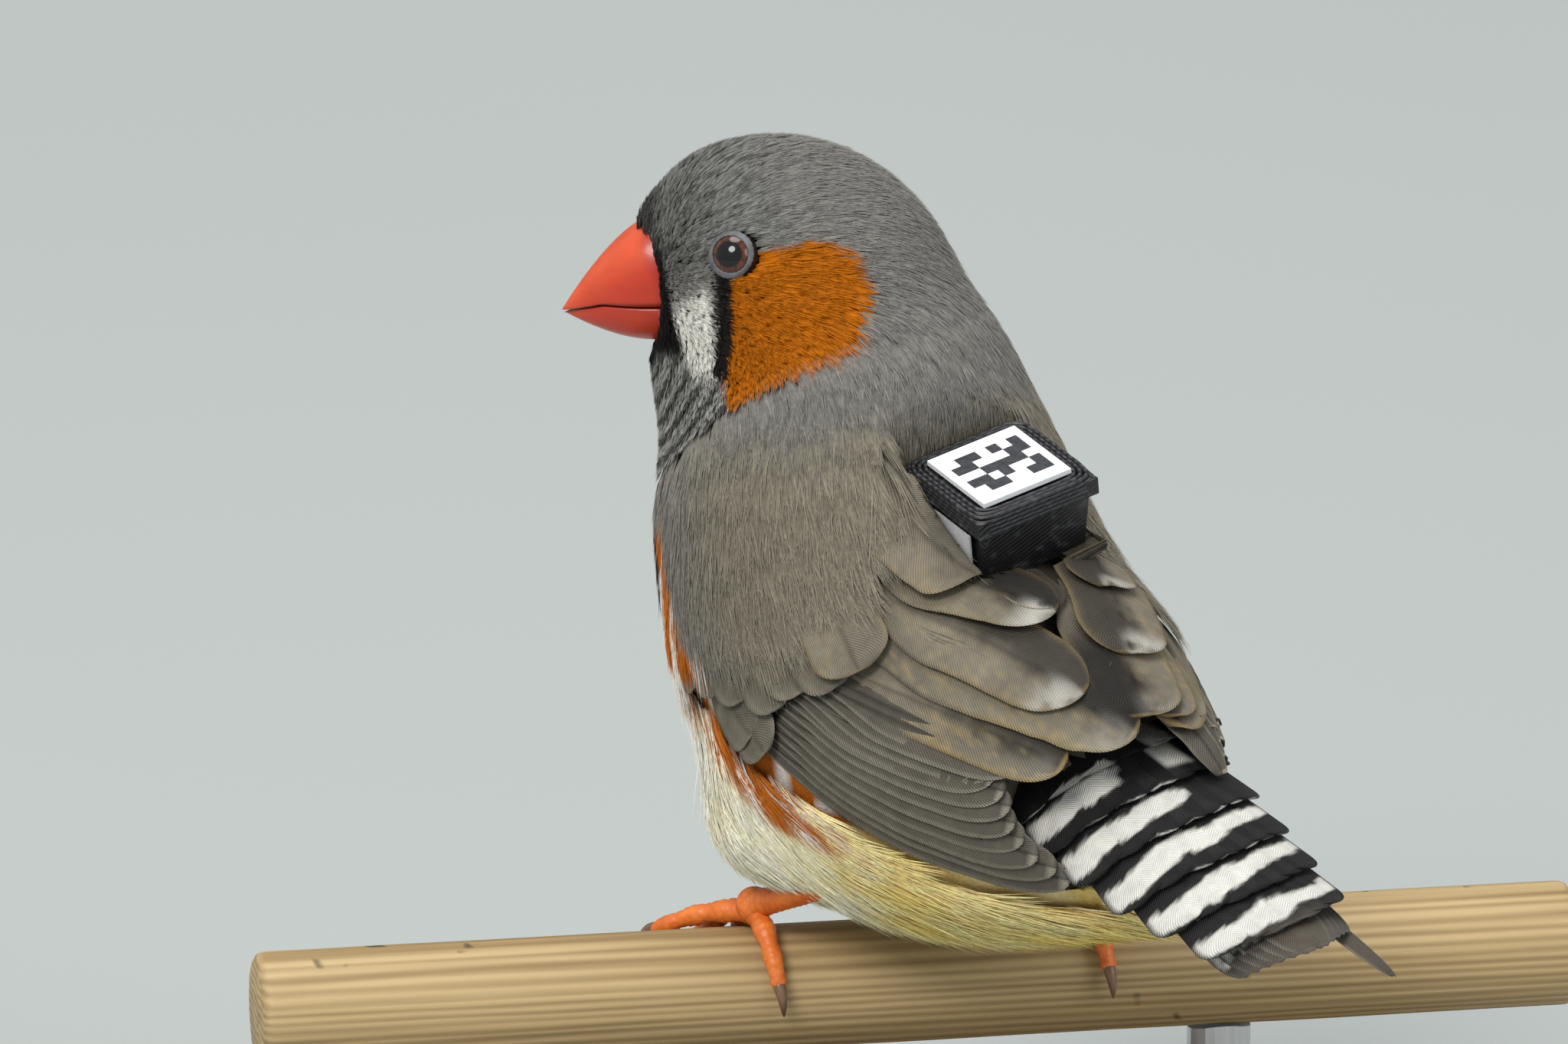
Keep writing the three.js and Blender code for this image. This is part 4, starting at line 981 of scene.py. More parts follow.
def vane_outline(u):
    """Share of its full width that a feather has along its length, with a round tip."""
    tip = np.sqrt(np.clip(1 - ((u - 0.78) / 0.222) ** 2, 0, 1))
    return np.where(u > 0.78, tip, 0.45 + 0.55 * smoothstep(u, 0, 0.4))


class Feathers:
    """Collects feathers as closed sheets, then makes them one piece."""

    def __init__(self, name, facing):
        """Facing is 1 or -1: to which side of its surface a feather's upper face lies."""
        self.name, self.facing = name, facing
        self.points, self.triangles, self.middles = [], [], []
        self.colours, self.uv, self.bake = [], [], []
        self.first = 0

    def add(self, surface, length, width, colour, rows=26, columns=9, bare_from=0.3):
        """Surface(u, v) is the vane's middle, u along it and v across. Tufts cover it up to bare_from."""
        closer_at_tip = 1 - (1 - np.linspace(0, 1, rows)) ** 1.25
        u, v = np.meshgrid(closer_at_tip, np.linspace(-1, 1, columns), indexing="ij")
        u, v = u.ravel(), v.ravel()
        middle = surface(u, v)
        self.middles.append(middle[u > bare_from])
        grid = middle.reshape(rows, columns, 3)
        normal = unit(np.cross(np.gradient(grid, axis=0), np.gradient(grid, axis=1))).reshape(-1, 3)
        shaft = np.exp(-(v / 0.13) ** 2) * (1 - u) * 0.22
        edge = VANE_THICKNESS * (1 - 0.55 * np.abs(v)) * (1 - 0.5 * u)
        upper = middle + normal * (edge / 2 + shaft)[:, None] * self.facing
        lower = middle - normal * (edge / 2)[:, None] * self.facing
        self.points += [upper, lower]
        self.triangles.append(self.sheet(rows, columns) + self.first)
        self.first += 2 * len(u)
        u, v, half = np.tile(u, 2), np.tile(v, 2), np.repeat((0, 1), len(u))
        self.colours.append(np.clip(colour(u, v, np.concatenate([upper, lower])), *ALBEDO))
        self.uv.append(np.stack([u * length, v * width / 2], axis=1))
        cell = len(self.bake)
        corner = np.array([cell % BAKE_CELLS, cell // BAKE_CELLS]) / BAKE_CELLS
        within = np.stack([0.05 + 0.42 * (v + 1) / 2 + 0.47 * half, 0.04 + 0.9 * u], 1)
        self.bake.append(corner + within / BAKE_CELLS)

    def sheet(self, rows, columns):
        """Faces of a closed sheet: a grid above, the same grid below and a wall round their rim."""
        n = rows * columns
        index = np.arange(n).reshape(rows, columns)
        corners = (index[:-1, :-1], index[1:, :-1], index[1:, 1:], index[:-1, 1:])
        a, b, c, d = (corner.ravel() for corner in corners)
        faces = np.concatenate([np.stack([a, b, c], 1), np.stack([a, c, d], 1)])
        rim = np.concatenate([index[0, :-1], index[:-1, -1], index[-1, :0:-1], index[:0:-1, 0]])
        after = np.roll(rim, -1)
        wall = np.concatenate([np.stack([rim, after, after + n], 1), np.stack([rim, after + n, rim + n], 1)])
        return np.concatenate([faces, faces[:, ::-1] + n, wall])[:, ::self.facing]

    def finish(self, slot):
        piece = build(
            self.name, np.concatenate(self.points), np.concatenate(self.triangles), VANE,
            colour=np.concatenate(self.colours), uv=np.concatenate(self.uv), bake=np.concatenate(self.bake),
        )
        return piece


def rim_of(u, v):
    return np.maximum(np.abs(v), smoothstep(u, 0.9, 1.0))


def with_shaft(colour, v, dark=0.55):
    return colour * (1 - dark * np.exp(-(v / 0.05) ** 2))[:, None]


def flight_colour(seed):
    def colour(u, v, p):
        tone = 0.85 + 0.3 * noise(p, 2.2, seed)
        base = mix(FLIGHT, COVERT * 0.8, smoothstep(v, 0.1, 0.9) * 0.3) * tone[:, None]
        edge = smoothstep(rim_of(u, v), 0.80, 0.93) * (0.25 + 0.7 * (v > 0))
        return mix(with_shaft(base, v), PALE_EDGE, edge)
    return colour


def covert_colour(seed):
    def colour(u, v, p):
        tone = 0.85 + 0.3 * noise(p, 1.8, seed)
        base = mix(COVERT, FLIGHT, smoothstep(-v, -0.3, 0.6) * 0.45) * tone[:, None]
        pale = smoothstep(rim_of(u, v), 0.6, 1.0) * smoothstep(u, 0.35, 0.95)
        return mix(with_shaft(base, v, 0.3), PALE_EDGE * 0.85, pale * 0.5)
    return colour


def tertial_colour(seed, pale_tip=0.0, gold=0.85, dark=1.0):
    """Dark inside, brown outside, streaked, with a gold rim and a pale tip."""
    def colour(u, v, p):
        tone = 0.85 + 0.3 * noise(p, 2.4, seed)
        blotched = 0.5 * (noise(p, 1.1, seed + 2) - 0.5)
        inner = smoothstep(0.9 * (u - 0.5) - v + blotched, -0.35, 0.35) * smoothstep(u, 0.2, 0.6)
        base = mix(TERTIAL_OUTER, TERTIAL, inner * dark) * tone[:, None]
        along_barbs = np.stack([(u - 0.5 * np.abs(v)) * 26, v * 3, np.full_like(u, seed)], 1)
        streak = smoothstep(noise(along_barbs, 0.8, seed), 0.45, 0.85)
        base = mix(base, GOLD_EDGE, streak * 0.55 * smoothstep(v, -0.3, 0.5) * gold)
        edge = smoothstep(rim_of(u, v), 0.84, 0.97) * smoothstep(u, 0.3, 0.6)
        base = mix(with_shaft(base, v, 0.4), GOLD_EDGE, edge * gold * 0.8)
        tip = smoothstep(u, 0.80, 0.93) * smoothstep(v + 0.9 * (u - 0.75), -0.15, 0.3)
        return mix(base, PALE_TIP, tip * smoothstep(noise(p, 0.8, seed + 1), 0.1, 0.5) * pale_tip)
    return colour


def wing_surface(sign, ends, width, heights, bend=0.0):
    """Middle surface of a feather that lies along the body from its root to its tip, and its length."""
    root, tip = ends
    stations = np.linspace(0, 1, 17)
    line = root + (tip - root) * stations[:, None]
    out = outward(line, False)
    line = line - np.cross(out, unit(tip - root)) * (sign * bend * 4 * stations * (1 - stations))[:, None]
    last = max(heights[1], float(body_distance(tip[None], False)[0]))
    level = heights[0] + (last - heights[0]) * smoothstep(stations, 0, 1)
    line = settle(line, level, rooms=False)
    length = np.linalg.norm(np.diff(line, axis=0), axis=1).sum()

    def at(u):
        return np.stack([np.interp(u, stations, line[:, k]) for k in range(3)], axis=1)

    def surface(u, v):
        centre = at(u)
        ahead = unit(at(np.clip(u + 0.05, 0, 1)) - at(np.clip(u - 0.05, 0, 1)))
        down = -unit(np.cross(outward(centre, False), ahead)) * sign
        p = centre + down * (v * width / 2 * vane_outline(u))[:, None]
        height = np.interp(u, stations, level) + SHINGLE * v * np.minimum(0.4 + u, 1)
        return clear_of_tag(settle(p, height, rounds=2, rooms=False))
    return surface, length


def clear_of_tag(p):
    """Feathers that would run into the tag's housing go beside it."""
    x, _, _ = tag_coordinates(p)
    half = TAG_SIZE / 2 + 0.25
    shift = np.where(near_tag(p, 0.25, -7.0, 2.0), np.where(x > 0, half - x, -half - x), 0.0)
    return p + shift[:, None] * TAG_RIGHT


def wing(side, sign):
    """Folded wing. The lower feathers of the right one mirror those of the left one."""
    feathers = Feathers(f"wing_{side}_feathers", -sign)

    def row(places, width, heights, step, colour, bend=0.0, mirrored=True, bare_from=0.4):
        for i, place in enumerate(places):
            ends = seen(place) * (MIRROR if mirrored and sign < 0 else 1)
            raised = (heights[0] + step * i, heights[1] + step * i)
            surface, length = wing_surface(sign, ends, width, raised, bend)
            feathers.add(surface, length, width, colour(40 + 7 * i), rows=30, columns=11, bare_from=bare_from)

    row(FLIGHT_PLACES, 4.3, (-1.2, -0.9), 0.06, flight_colour, bend=0.5, bare_from=0.06)
    row(COVERT_PLACES, 5.2, (-1.0, -0.1), 0.03, covert_colour)
    if sign < 0:
        row(RIGHT_FLIGHT_PLACES, 3.6, (-1.2, -0.9), 0.1, flight_colour, mirrored=False)
        row([place[:2] for place in TERTIAL_PLACES[1][:2]], 7.0, (-0.9, -0.3), 0.1, tertial_colour)
    for k, (root, tip, width, heights, *look) in enumerate(TERTIAL_PLACES[sign]):
        surface, length = wing_surface(sign, seen([root, tip]), width, heights)
        feathers.add(surface, length, width, tertial_colour(60 + k, *look), rows=40, columns=17)
    piece = feathers.finish("plumage_wing")
    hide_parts(f"wing_{side}")
    return feathers.middles


def tail_colour(plain):
    """Brown-black with a brown end, and unless it is plain, white bars and a white patch at the rump."""
    def colour(u, v, p):
        along, degrees = tail_coordinates(p)
        ragged = noise(p, 0.8, 31) - 0.5
        base = mix(BLACK * 1.2, TAIL_BROWN, smoothstep(along + ragged, 21.5, 25.5))
        base = mix(base, PALE_TIP * 0.8, smoothstep(rim_of(u, v), 0.9, 1.0) * smoothstep(along, 22, 25) * 0.4)
        if plain:
            return base
        slant = along + 0.9 * v * v + 0.05 * np.maximum(-degrees, 0) + ragged * 0.5 + 0.9 * noise(p, 3.5, 32)
        half = 0.8 + 0.4 * smoothstep(degrees, -6, 4)
        white = np.zeros(len(p))
        for place, start in BARS:
            bar = falling(np.abs(slant - place), half - 0.2, half + 0.1)
            white = np.maximum(white, bar * smoothstep(degrees + 4 * ragged, start, start + 2))
        white *= smoothstep(25.0 - along, 0, 2) * (1 - 0.9 * smoothstep(np.abs(v), 0.80, 0.95))
        rump = smoothstep(degrees, -19, -16) * falling(degrees, -8, -5) * falling(along, 4.6, 5.4)
        return mix(base, WHITE, np.maximum(white, rump))
    return colour


def tail_surface(start, finish, width, heights):
    def surface(u, v):
        along = start[0] + (finish[0] - start[0]) * u
        half = width / 2 * vane_outline(u)
        degrees = start[1] + (finish[1] - start[1]) * u + np.degrees(v * half / TAIL_ARCH)
        return on_tail(along, degrees, heights[0] + (heights[1] - heights[0]) * u - 0.16 * v * v)
    return surface, finish[0] - start[0]


def tail():
    feathers = Feathers("tail_feathers", -1)
    for i in range(TAIL_PAIRS - 1, -1, -1):
        for sign in (1, -1):
            splayed = sign < 0 and i == TAIL_PAIRS - 1
            surface, length = tail_surface(
                (3, sign * (2 + 2.4 * i)), (30.3 if splayed else 26.6 - 0.4 * i, sign * (3 + 4.4 * i)),
                3.0 if splayed else 4.6, (-2.2 - 0.2 * i, -0.75 - 0.2 * i - (0.1 if sign < 0 else 0)),
            )
            feathers.add(surface, length, 4.4, tail_colour(splayed))
    for k, (tip, left, right) in enumerate(TAIL_COVERTS):
        for share in np.linspace(-1, 1, COVERTS_ACROSS):
            degrees = share * (left if share > 0 else right)
            surface, length = tail_surface(
                (max(tip - 11, -3.5), degrees * 0.85), (tip - 1.2 * abs(share), degrees), 7.0,
                (-1.5, -0.3 + 0.12 * k - 0.16 * abs(share)),
            )
            feathers.add(surface, length, 7.0, tail_colour(False), rows=34, columns=13)
    piece = feathers.finish("plumage_tail")
    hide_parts("tail")
    return feathers.middles


# Legs and feet

def along_perch(along, across, up):
    c, s = math.cos(PERCH_TURN), math.sin(PERCH_TURN)
    height = np.broadcast_to(up, np.shape(along))
    return np.stack([along * c - across * s, along * s + across * c, height], axis=-1)


def round_perch(along, angle, lift):
    radius = PERCH_RADIUS + GAP + lift
    return along_perch(along, -radius * np.sin(angle), PERCH_AXIS_HEIGHT + radius * np.cos(angle))


def leg_material():
    shader = Shader("leg_skin", Roughness=0.42, Subsurface_Weight=0.12, Subsurface_Scale=0.001)
    tint = shader.ramp(shader.noise(420, 4.0), (0.3, (0.74, 0.155, 0.018)), (0.7, (0.90, 0.25, 0.04)))
    cells = shader.node("ShaderNodeTexVoronoi", {"Vector": shader.place(), "Scale": 1900.0})
    scales = cells.outputs["Distance"]
    # Painted shade in the creases between the scales.
    crease_shade = shader.ramp(scales, (0.0, (1, 1, 1)), (0.9, (0.6, 0.5, 0.45)))
    shader.set("Base Color", shader.blend("MULTIPLY", 0.5, tint, crease_shade))
    shader.bump(scales, 0.05)
    return shader.material


def claw_material():
    shader = mottled("claw_horn", 0.3, 700, (0.10, 0.055, 0.035), (0.22, 0.12, 0.07), stretch=(1, 1, 0.3))
    shader.grain(3000, 0.02)
    return shader.material


def toe_tubes(start, length, skew, way, claw):
    """One toe and its claw, laid round the perch from the ankle."""
    def laid(travel, lift):
        angle = way * travel * math.cos(skew) / (PERCH_RADIUS + TOE_RADIUS)
        return round_perch(start + travel * math.sin(skew), angle, lift)

    travel = np.linspace(0, length + 0.25, 44)
    radius = TOE_RADIUS + (TOE_END_RADIUS - TOE_RADIUS) * travel / length
    joints = 1 + 0.09 * np.cos(travel * 2 * math.pi / 2.6) + 0.045 * np.sin(travel * 2 * math.pi / 0.62)
    joints[-3:] *= (0.94, 0.8, 0.5)
    toe = tube(laid(travel, radius), radius * joints, 14)
    travel = np.linspace(length - CLAW_SEAT, length + claw, 18)
    share = np.clip((travel - length + CLAW_SEAT) / (claw + CLAW_SEAT), 0, 1)
    lift = 0.62 * (1 - share) + 0.35 * share + 0.5 * np.sin(math.pi * share)
    return toe, tube(laid(travel, lift), 0.52 * (1 - share) ** 0.75 + 0.04, 10)


def leg(side):
    foot, claws = [], []
    for length, skew, way in TOES[side]:
        claw = HIND_CLAW if way > 0 else FRONT_CLAW
        toe, nail = toe_tubes(FOOT_ALONG[side], length + TOE_PADS, math.radians(skew), way, claw)
        foot.append(toe)
        claws.append(nail)
    ankle = round_perch(np.array([FOOT_ALONG[side]]), np.array([0.0]), ANKLE_RADIUS + 0.05)[0]
    foot.append(sphere(ankle, ANKLE_RADIUS * 0.98, 20, 12))
    way = np.array([0, math.cos(SHANK_RISE), math.sin(SHANK_RISE)])
    reach = np.arange(0, 14, 0.05)
    inside = body_distance(ankle + reach[:, None] * way) < -0.6
    top = reach[np.argmax(inside)] if inside.any() else SHANK_REACH
    travel = np.linspace(0, top, 40)
    scutes = 1 + 0.05 * np.sin(travel * 2 * math.pi / 0.8) + 0.16 * np.exp(-(travel / 1.2) ** 2)
    points, faces = tube(ankle + travel[:, None] * way, SHANK_RADIUS * scutes, 16)
    shank = build(f"shank_{side}_scuted", points, faces, LEG)
    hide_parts(f"shank_{side}")
    toes = build(f"foot_{side}_toes", *merged(foot), LEG)
    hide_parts(f"foot_{side}")
    build(f"foot_{side}_claws", *merged(claws), CLAW)


# Bill

def bill_shape(f):
    share = np.clip(f / BILL_LENGTH, 0, 1)
    top, bottom = CULMEN_HEIGHT * (1 - share ** 1.45), -GONYS_DEPTH * (1 - share ** 1.9)
    return top, bottom, BILL_HALF_WIDTH * (1 - share ** 1.5)


def gape(f):
    """How far the lower half spreads where it meets the face."""
    return smoothstep(-f, -1.2, 2.4)


def mandible(upper):
    """Half of the bill: rings of points from the head to the tip, closed along the mouth."""
    root = BILL_ROOT if upper else BILL_ROOT + 1.8
    tip_steps = BILL_LENGTH * np.sin(np.linspace(0, math.pi / 2, 40)) ** 1.1
    steps = np.minimum(np.concatenate([np.linspace(-root, 0, 8)[:-1], tip_steps]), BILL_LENGTH - 0.03)
    lip_gap = 0.12 if upper else 0.10
    rings = []
    for f, lips in zip(steps, np.interp(steps, *np.array(MOUTH_LINE).T)):
        top, bottom, half = (float(x) for x in bill_shape(max(f, 0)))
        if not upper:
            half, bottom = half + 1.5 * gape(f), bottom - 0.5 * gape(f)
        middle, tall = (top + bottom) / 2, (top - bottom) / 2 + 0.02
        edge = math.acos(np.clip((lips - middle) / tall, -0.98, 0.98))
        start, end = (-edge, edge) if upper else (edge, 2 * math.pi - edge)
        reach = np.linspace(start, end, BILL_RING)
        left = (half + 0.03) * np.sign(np.sin(reach)) * np.abs(np.sin(reach)) ** 0.85
        up = middle + tall * np.cos(reach)
        up = np.maximum(up, lips + lip_gap) if upper else np.minimum(up, lips - lip_gap)
        ridge = 0.10 * np.exp(-(np.sin(reach) / 0.16) ** 2) * (np.cos(reach) > 0) * upper
        inner = np.linspace(left[-1], left[0], LIP_POINTS + 2)[1:-1]
        across, height = np.r_[left, inner], np.r_[up + ridge, np.full(LIP_POINTS, up[0])]
        rings.append(head_point(np.full(len(across), f), across, height))
    points, faces = capped(rings)
    return points, oriented(points, faces, head_point(2.0, 0, 1.6 if upper else -2.4))


def bill_colour(p):
    forward, _, up = head_coordinates(p)
    # Painted light: the top of the bill lighter, as lit from above; the tip also paler.
    light = smoothstep(up + 0.35 * forward, 1.2, 4.6) * 0.75 + 0.35 * smoothstep(forward, 5.5, 8.2)
    colour = mix(BILL_RED, BILL_LIGHT, np.clip(light, 0, 1) * (0.7 + 0.3 * noise(p, 1.3, 50)))
    # Painted shade at the bill's base, where it meets the face.
    colour = mix(colour, BILL_DEEP, smoothstep(-forward, -0.9, 0.4) * 0.7)
    # Painted shade along the mouth line, in the crease between the bill's halves.
    mouth = np.interp(forward, *np.array(MOUTH_LINE).T)
    return colour * (1 - 0.45 * np.exp(-((up - mouth) / 0.22) ** 2))[:, None]


def bill_material():
    shader = Shader("bill_horn", Roughness=0.34, Subsurface_Weight=0.18, Subsurface_Scale=0.0012,
                    Coat_Weight=0.25, Coat_Roughness=0.3)
    streaks = shader.noise(500, 4.0, stretch=(1, 1, 1.6))
    wear = shader.ramp(streaks, (0.3, (0.9, 0.86, 0.84)), (0.75, (1.08, 1.06, 1.04)))
    shader.set("Base Color", shader.marked(wear))
    shader.grain(1300, 0.03, detail=3.0)
    return shader.material


def bill():
    for name, upper in (("bill_upper", True), ("bill_lower", False)):
        points, faces = mandible(upper)
        piece = build(f"{name}_horn", points, faces, BILL, colour=bill_colour(points))
        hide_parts(name)


# Eyes: iris and pupil by the angle from the way that the eye looks

def eye_seat(sign):
    low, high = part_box("eye_left" if sign > 0 else "eye_right")
    centre = np.array((low + high) / 2) / MM
    return centre, outward(centre[None])[0]


def eye(side, sign):
    centre, out = eye_seat(sign)
    turn = np.array(Vector((0, 0, 1)).rotation_difference(Vector(out)).to_matrix())
    points, faces = sphere(np.zeros(3), EYE_RADIUS, 96, 64)
    angle = np.degrees(np.arccos(np.clip(points[:, 2] / EYE_RADIUS, -1, 1)))
    spokes = np.stack([np.arctan2(points[:, 1], points[:, 0]) * 4, angle * 0.08, angle * 0], 1)
    iris = mix(IRIS_DARK, IRIS_LIGHT, noise(spokes, 0.5, 60))
    colour = mix(PUPIL, iris, smoothstep(angle, 28, 32))
    colour = mix(colour, EYE_RIM, smoothstep(angle, 39, 44))
    piece = build(f"eye_{side}_ball", points @ turn.T + centre, faces, EYE, colour=colour)
    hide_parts(f"eye_{side}")
    around, across = 72, 12
    a, b = (grid.ravel() for grid in np.meshgrid(circle(around), circle(across), indexing="ij"))
    wrinkle = 1 + 0.12 * np.sin(a * 26) * np.cos(b)
    r = LID_MIDDLE + LID_WIDTH * wrinkle * np.cos(b) * (1 + 0.15 * np.cos(a * 2))
    slope = 0.45 * (LID_MIDDLE - r)
    seat = math.sqrt(EYE_RADIUS ** 2 - LID_MIDDLE ** 2) + 0.10
    ring = np.stack([r * np.cos(a), r * np.sin(a), LID_THICKNESS * wrinkle * np.sin(b) + slope + seat], 1)
    lid = build(f"eyelid_{side}", ring @ turn.T + centre, looped_triangles(around, across), LID)


def eye_material():
    shader = Shader("eye_wet", Roughness=0.12, Specular_IOR_Level=0.25, Coat_Weight=0.5, Coat_Roughness=0.03)
    depth = shader.ramp(shader.noise(1500, 2.0), (0.3, (0.85, 0.85, 0.85)), (0.7, (1.15, 1.15, 1.15)))
    shader.set("Base Color", shader.marked(depth))
    return shader.material


def lid_material():
    shader = mottled("eyelid_skin", 0.55, 1400, (0.06, 0.063, 0.068), (0.13, 0.133, 0.14))
    shader.grain(3200, 0.04)
    return shader.material


# Tag on the back

def tag_point(x, y, z):
    along, across = np.multiply.outer(x, TAG_RIGHT), np.multiply.outer(y, TAG_FORWARD)
    return TAG_CENTRE + along + across + np.multiply.outer(z, TAG_UP)


def tag_block(x, y, z, half_x, half_y, half_z):
    signs = np.array([(i, j, k) for k in (-1, 1) for j in (-1, 1) for i in (-1, 1)], float)
    points = tag_point(x + signs[:, 0] * half_x, y + signs[:, 1] * half_y, z + signs[:, 2] * half_z)
    quads = ((0, 2, 3, 1), (4, 5, 7, 6), (0, 1, 5, 4), (2, 6, 7, 3), (0, 4, 6, 2), (1, 3, 7, 5))
    faces = [f for q in quads for f in ((q[0], q[1], q[2]), (q[0], q[2], q[3]))]
    return points, np.array(faces)


def printed_plastic():
    """Black printed plastic: fine slanting lines, with scuffs."""
    shader = Shader("tag_plastic")
    lines = shader.node("ShaderNodeTexWave", {
        "Vector": shader.place(), "Scale": 900.0, "Distortion": 0.6, "Detail": 2.0,
    }, bands_direction="DIAGONAL").outputs["Fac"]
    scuffs = shader.noise(900, 5.0)
    worn = shader.span(scuffs, 0.55, 0.8)
    shader.set("Base Color", shader.blend("MIX", worn, (0.010, 0.010, 0.012, 1), (0.075, 0.075, 0.08, 1)))
    shader.set("Roughness", shader.span(scuffs, 0.3, 0.8, 0.35, 0.62))
    shader.bump(shader.math("ADD", lines, shader.math("MULTIPLY", scuffs, 0.6)), 0.05)
    return shader.material


def tag():
    """Housing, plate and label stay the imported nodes. Their pattern, print lines and pale side are added."""
    black = printed_plastic()
    dress(black, "tag_housing", "tag_plate")
    paper = mottled("label_paper", 0.55, 1800, (0.80, 0.82, 0.84), (0.90, 0.91, 0.92), detail=4.0)
    paper.grain(4200, 0.008)
    dress(paper.material, "tag_label")
    ink = mottled("tag_ink", 0.5, 2400, (0.010, 0.010, 0.013), (0.035, 0.036, 0.045))
    ink.grain(4200, 0.006)
    pale = mottled("tag_side_pale", 0.6, 700, (0.42, 0.43, 0.44), (0.58, 0.58, 0.58), detail=4.0)
    pale.grain(2600, 0.02)
    build("tag_pattern", *merged(label_blocks()), ink.material, smooth=False)
    build("tag_print_lines", *merged(print_lines()), black)
    build("tag_side_plate", *side_plate(), pale.material, smooth=False)


def label_blocks():
    rows, columns = len(TAG_PATTERN), len(TAG_PATTERN[0])
    half = (TAG_CELL * 0.432, TAG_CELL * 0.502, 0.02)
    blocks = []
    for j, row in enumerate(TAG_PATTERN):
        for i, cell in enumerate(row):
            if cell == "1":
                x, y = (i - (columns - 1) / 2) * TAG_CELL * 0.86, ((rows - 1) / 2 - j) * TAG_CELL
                blocks.append(tag_block(x, y, 0.215, *half))
    return blocks


def print_lines():
    """Printed lines round the plate's face, then round its edge and the housing below."""
    rims = [square_line(half - 0.01, 8, -0.36 + 0.02 * k, 0.02, k) for k, half in enumerate(RIM_LINES)]
    return rims + [square_line(5.33, 14, level) for level in HOUSING_LINES]


def square_line(half, squareness, level, ripple=0.0, phase=0):
    """Line of print round the tag, a square with round corners."""
    a = circle(96)
    r = half / (np.abs(np.cos(a)) ** squareness + np.abs(np.sin(a)) ** squareness) ** (1 / squareness)
    r = r + ripple * np.sin(a * 23 + phase)
    line = tag_point(r * np.cos(a), r * np.sin(a), np.full(96, level))
    out = unit(np.cross(unit(np.roll(line, -1, axis=0) - np.roll(line, 1, axis=0)), TAG_UP))
    b = circle(8)[None, :, None]
    points = line[:, None] + 0.2 * (np.cos(b) * out[:, None] + np.sin(b) * TAG_UP)
    return points.reshape(-1, 3), looped_triangles(96, 8)


def side_plate():
    """Pale sheet on the housing's left side, as deep as the wedge."""
    half = TAG_SIZE / 2 - 0.4
    x = -half - 0.22
    front, rear, top = half - 0.2, -half + 1.4, -2.4
    y, z = np.array([(rear, top), (front, top), (front, top - 1.4), (rear, top - 5.0)]).T
    points = np.concatenate([tag_point(np.full(4, x + s), y, z) for s in (-0.08, 0.08)])
    faces = [(0, 2, 1), (0, 3, 2), (4, 5, 6), (4, 6, 7)]
    for k in range(4):
        n = (k + 1) % 4
        faces += [(k, n, n + 4), (k, n + 4, k + 4)]
    return points, np.array(faces)


# Perch and stand

def wood_material(name, light, dark, scale):
    """Straight-grained wood, with the grain along the perch."""
    shader = Shader(name, Roughness=0.62)
    inputs = {"Vector": shader.place(), "Rotation": (0, 0, -PERCH_TURN)}
    along = shader.node("ShaderNodeMapping", inputs).outputs[0]
    long = shader.node("ShaderNodeMapping", {"Vector": along, "Scale": (0.035, 1, 1)}).outputs[0]
    grain = shader.noise(scale, 5.0, where=long)
    rings = shader.node("ShaderNodeTexWave", {
        "Vector": long, "Scale": scale * 0.55, "Distortion": 7.0, "Detail": 3.0, "Detail Scale": 0.6,
    }, bands_direction="Z").outputs["Fac"]
    broad = shader.noise(scale * 0.16, 3.0, where=long)
    fine = shader.math("ADD", shader.math("MULTIPLY", rings, 0.22), shader.math("MULTIPLY", grain, 0.48))
    mixed = shader.math("ADD", fine, shader.math("MULTIPLY", broad, 0.30))
    colour = shader.ramp(mixed, (0.28, dark), (0.62, light))
    flecks = shader.ramp(shader.noise(260, 2.0, where=along), (0.26, (0.18, 0.15, 0.12)), (0.30, (1, 1, 1)))
    shader.set("Base Color", shader.blend("MULTIPLY", 0.85, colour, flecks))
    shader.set("Roughness", shader.span(mixed, 0.2, 0.8, 0.72, 0.5))
    shader.bump(mixed, 0.12)
    return shader.material


def perch():
    sides, rows = 144, 64
    ends, cuts = np.array([0.0, 0.25, 0.6]), np.array([0.6, 0.18, 0.03])
    half = PERCH_LENGTH / 2
    s = np.concatenate([-half + ends, np.linspace(-half + 1, half - 1, rows), half - ends[::-1]])
    inset = np.concatenate([cuts, np.zeros(rows), cuts[::-1]])
    a = circle(sides)
    rings = []
    for along, cut in zip(s, inset):
        q = np.stack([np.full(sides, along * 0.04), np.cos(a) * 4, np.sin(a) * 4], 1)
        groove = 0.10 * (noise(q, 0.42, 70) - 0.5) + 0.06 * (noise(q, 1.2, 71) - 0.5)
        radius = PERCH_RADIUS - 0.04 - cut + groove
        height = PERCH_AXIS_HEIGHT + radius * np.sin(a)
        rings.append(along_perch(np.full(sides, along), radius * np.cos(a), height))
    points, faces = capped(rings)
    pine = wood_material("perch_pine", (0.47, 0.335, 0.160), (0.23, 0.145, 0.055), 800.0)
    piece = build("perch_dowel", points, oriented(points, faces, points.mean(0)), pine)
    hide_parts("perch")


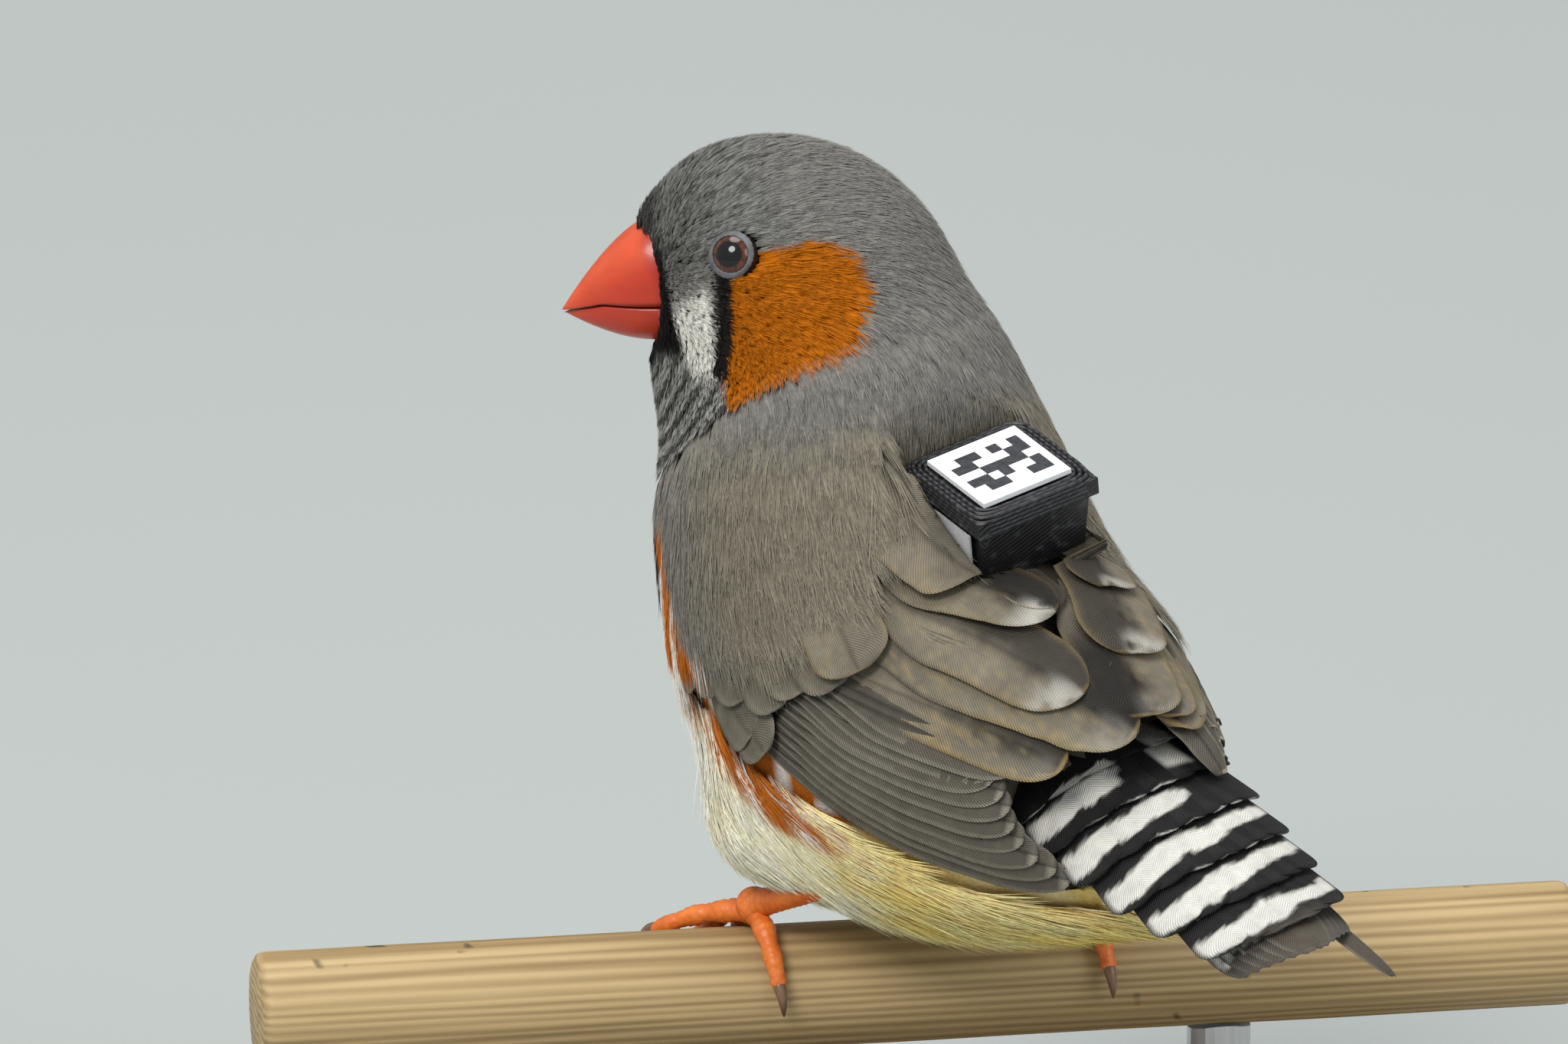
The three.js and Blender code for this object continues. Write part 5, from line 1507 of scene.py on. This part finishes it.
def stand():
    walnut = wood_material("stand_walnut", (0.115, 0.060, 0.032), (0.045, 0.022, 0.012), 300.0)
    steel = Shader("stand_steel", Metallic=1.0)
    brushed = steel.noise(900, 3.0, stretch=(1, 1, 0.03))
    steel.set("Base Color", steel.ramp(brushed, (0.3, (0.50, 0.50, 0.51)), (0.7, (0.66, 0.66, 0.67))))
    steel.set("Roughness", steel.span(brushed, 0.2, 0.8, 0.26, 0.42))
    steel.bump(brushed, 0.02)
    dress(walnut, "stand_base")
    dress(steel.material, "stand_rod_a", "stand_rod_b")
    for name, sign in (("stand_collar_a", -1), ("stand_collar_b", 1)):
        a = circle(COLLAR_SIDES)
        centre = along_perch(np.array([sign * ROD_OFFSET]), np.array([0.0]), BASE_THICKNESS)[0]
        rings = [
            centre + np.stack([r * np.cos(a), r * np.sin(a), np.full(COLLAR_SIDES, z)], 1) for r, z in COLLAR
        ]
        faces = looped_triangles(len(COLLAR), COLLAR_SIDES)[:, ::-1]
        build(name, np.concatenate(rings), faces, steel.material)


# Stage, lights and camera

def stage():
    """Paper floor that runs on away from the camera and rises behind the object."""
    bends = np.linspace(0.1, math.pi / 2, 14)
    profile = [(STAGE_SIZE, 0.0), (-WALL_START, 0.0)]
    profile += [(-WALL_START - WALL_BEND * math.sin(a), WALL_BEND * (1 - math.cos(a))) for a in bends]
    profile.append((-WALL_START - WALL_BEND, WALL_HEIGHT))
    away = np.array([-0.616, -0.788])
    side = np.array([away[1], -away[0]])
    points = [(*(-away * y + side * s), z) for y, z in profile for s in (-STAGE_SIZE, STAGE_SIZE)]
    faces = [(a, a + 1, a + 3, a + 2) for a in range(0, 2 * len(profile) - 2, 2)]
    mesh = bpy.data.meshes.new("studio_floor")
    mesh.from_pydata(points, [], faces)
    for polygon in mesh.polygons:
        polygon.use_smooth = True
    shader = mottled("studio_paper", 0.9, 3.0, (0.385, 0.408, 0.393), (0.40, 0.423, 0.408), detail=2.0)
    shader.set("Specular IOR Level", 0.1)
    mesh.materials.append(shader.material)
    floor = bpy.data.objects.new("studio_floor", mesh)
    bpy.context.scene.collection.objects.link(floor)


def aimed(name, data, place):
    """Object for a light or the camera that looks at the bird."""
    obj = bpy.data.objects.new(name, data)
    obj.location = place
    obj.rotation_mode = "QUATERNION"
    obj.rotation_quaternion = (Vector(TARGET * MM) - Vector(place)).to_track_quat("-Z", "Y")
    bpy.context.scene.collection.objects.link(obj)
    return obj


def area_light(name, place, size, power, colour=(1, 1, 1)):
    light = bpy.data.lights.new(name, "AREA")
    light.shape = "DISK"
    light.size = size
    light.energy = power
    light.color = colour
    aimed(name, light, place)


def lights_and_camera():
    world = bpy.data.worlds.new("soft_room")
    world.use_nodes = True
    world.node_tree.nodes["Background"].inputs["Color"].default_value = (0.93, 0.97, 1.0, 1)
    world.node_tree.nodes["Background"].inputs["Strength"].default_value = 0.55
    bpy.context.scene.world = world
    area_light("key", (1.3, 0.5, 1.5), 0.9, 26, (1.0, 0.98, 0.95))
    area_light("fill", (-0.5, 1.6, 0.9), 1.1, 9, (0.96, 0.98, 1.0))
    area_light("top", (0.0, -0.3, 1.9), 1.2, 18)
    camera = bpy.data.cameras.new("camera")
    camera.lens = LENS
    camera.sensor_width = SENSOR
    camera.clip_start, camera.clip_end = 0.05, 50
    bpy.context.scene.camera = aimed("camera", camera, CAMERA * MM)
    bpy.context.scene.view_settings.view_transform = "Standard"


PLUMAGE = plumage_material("plumage", 0.03, 0.72)
SKIN = plumage_material("skin_markings", 0.08, 0.85)
VANE = vane_material()
LEG, CLAW, BILL, EYE, LID = leg_material(), claw_material(), bill_material(), eye_material(), lid_material()

lights_and_camera()
stage()
vanes = []
for side, sign in (("left", 1), ("right", -1)):
    vanes += wing(side, sign)
    eye(side, sign)
    leg(side)
vanes = np.concatenate(vanes + tail())
vane_tree = KDTree(len(vanes))
for i, place in enumerate(vanes):
    vane_tree.insert(place, i)
vane_tree.balance()
grow_coat(*skin_piece(), vane_tree)
bill()
tag()
perch()
stand()
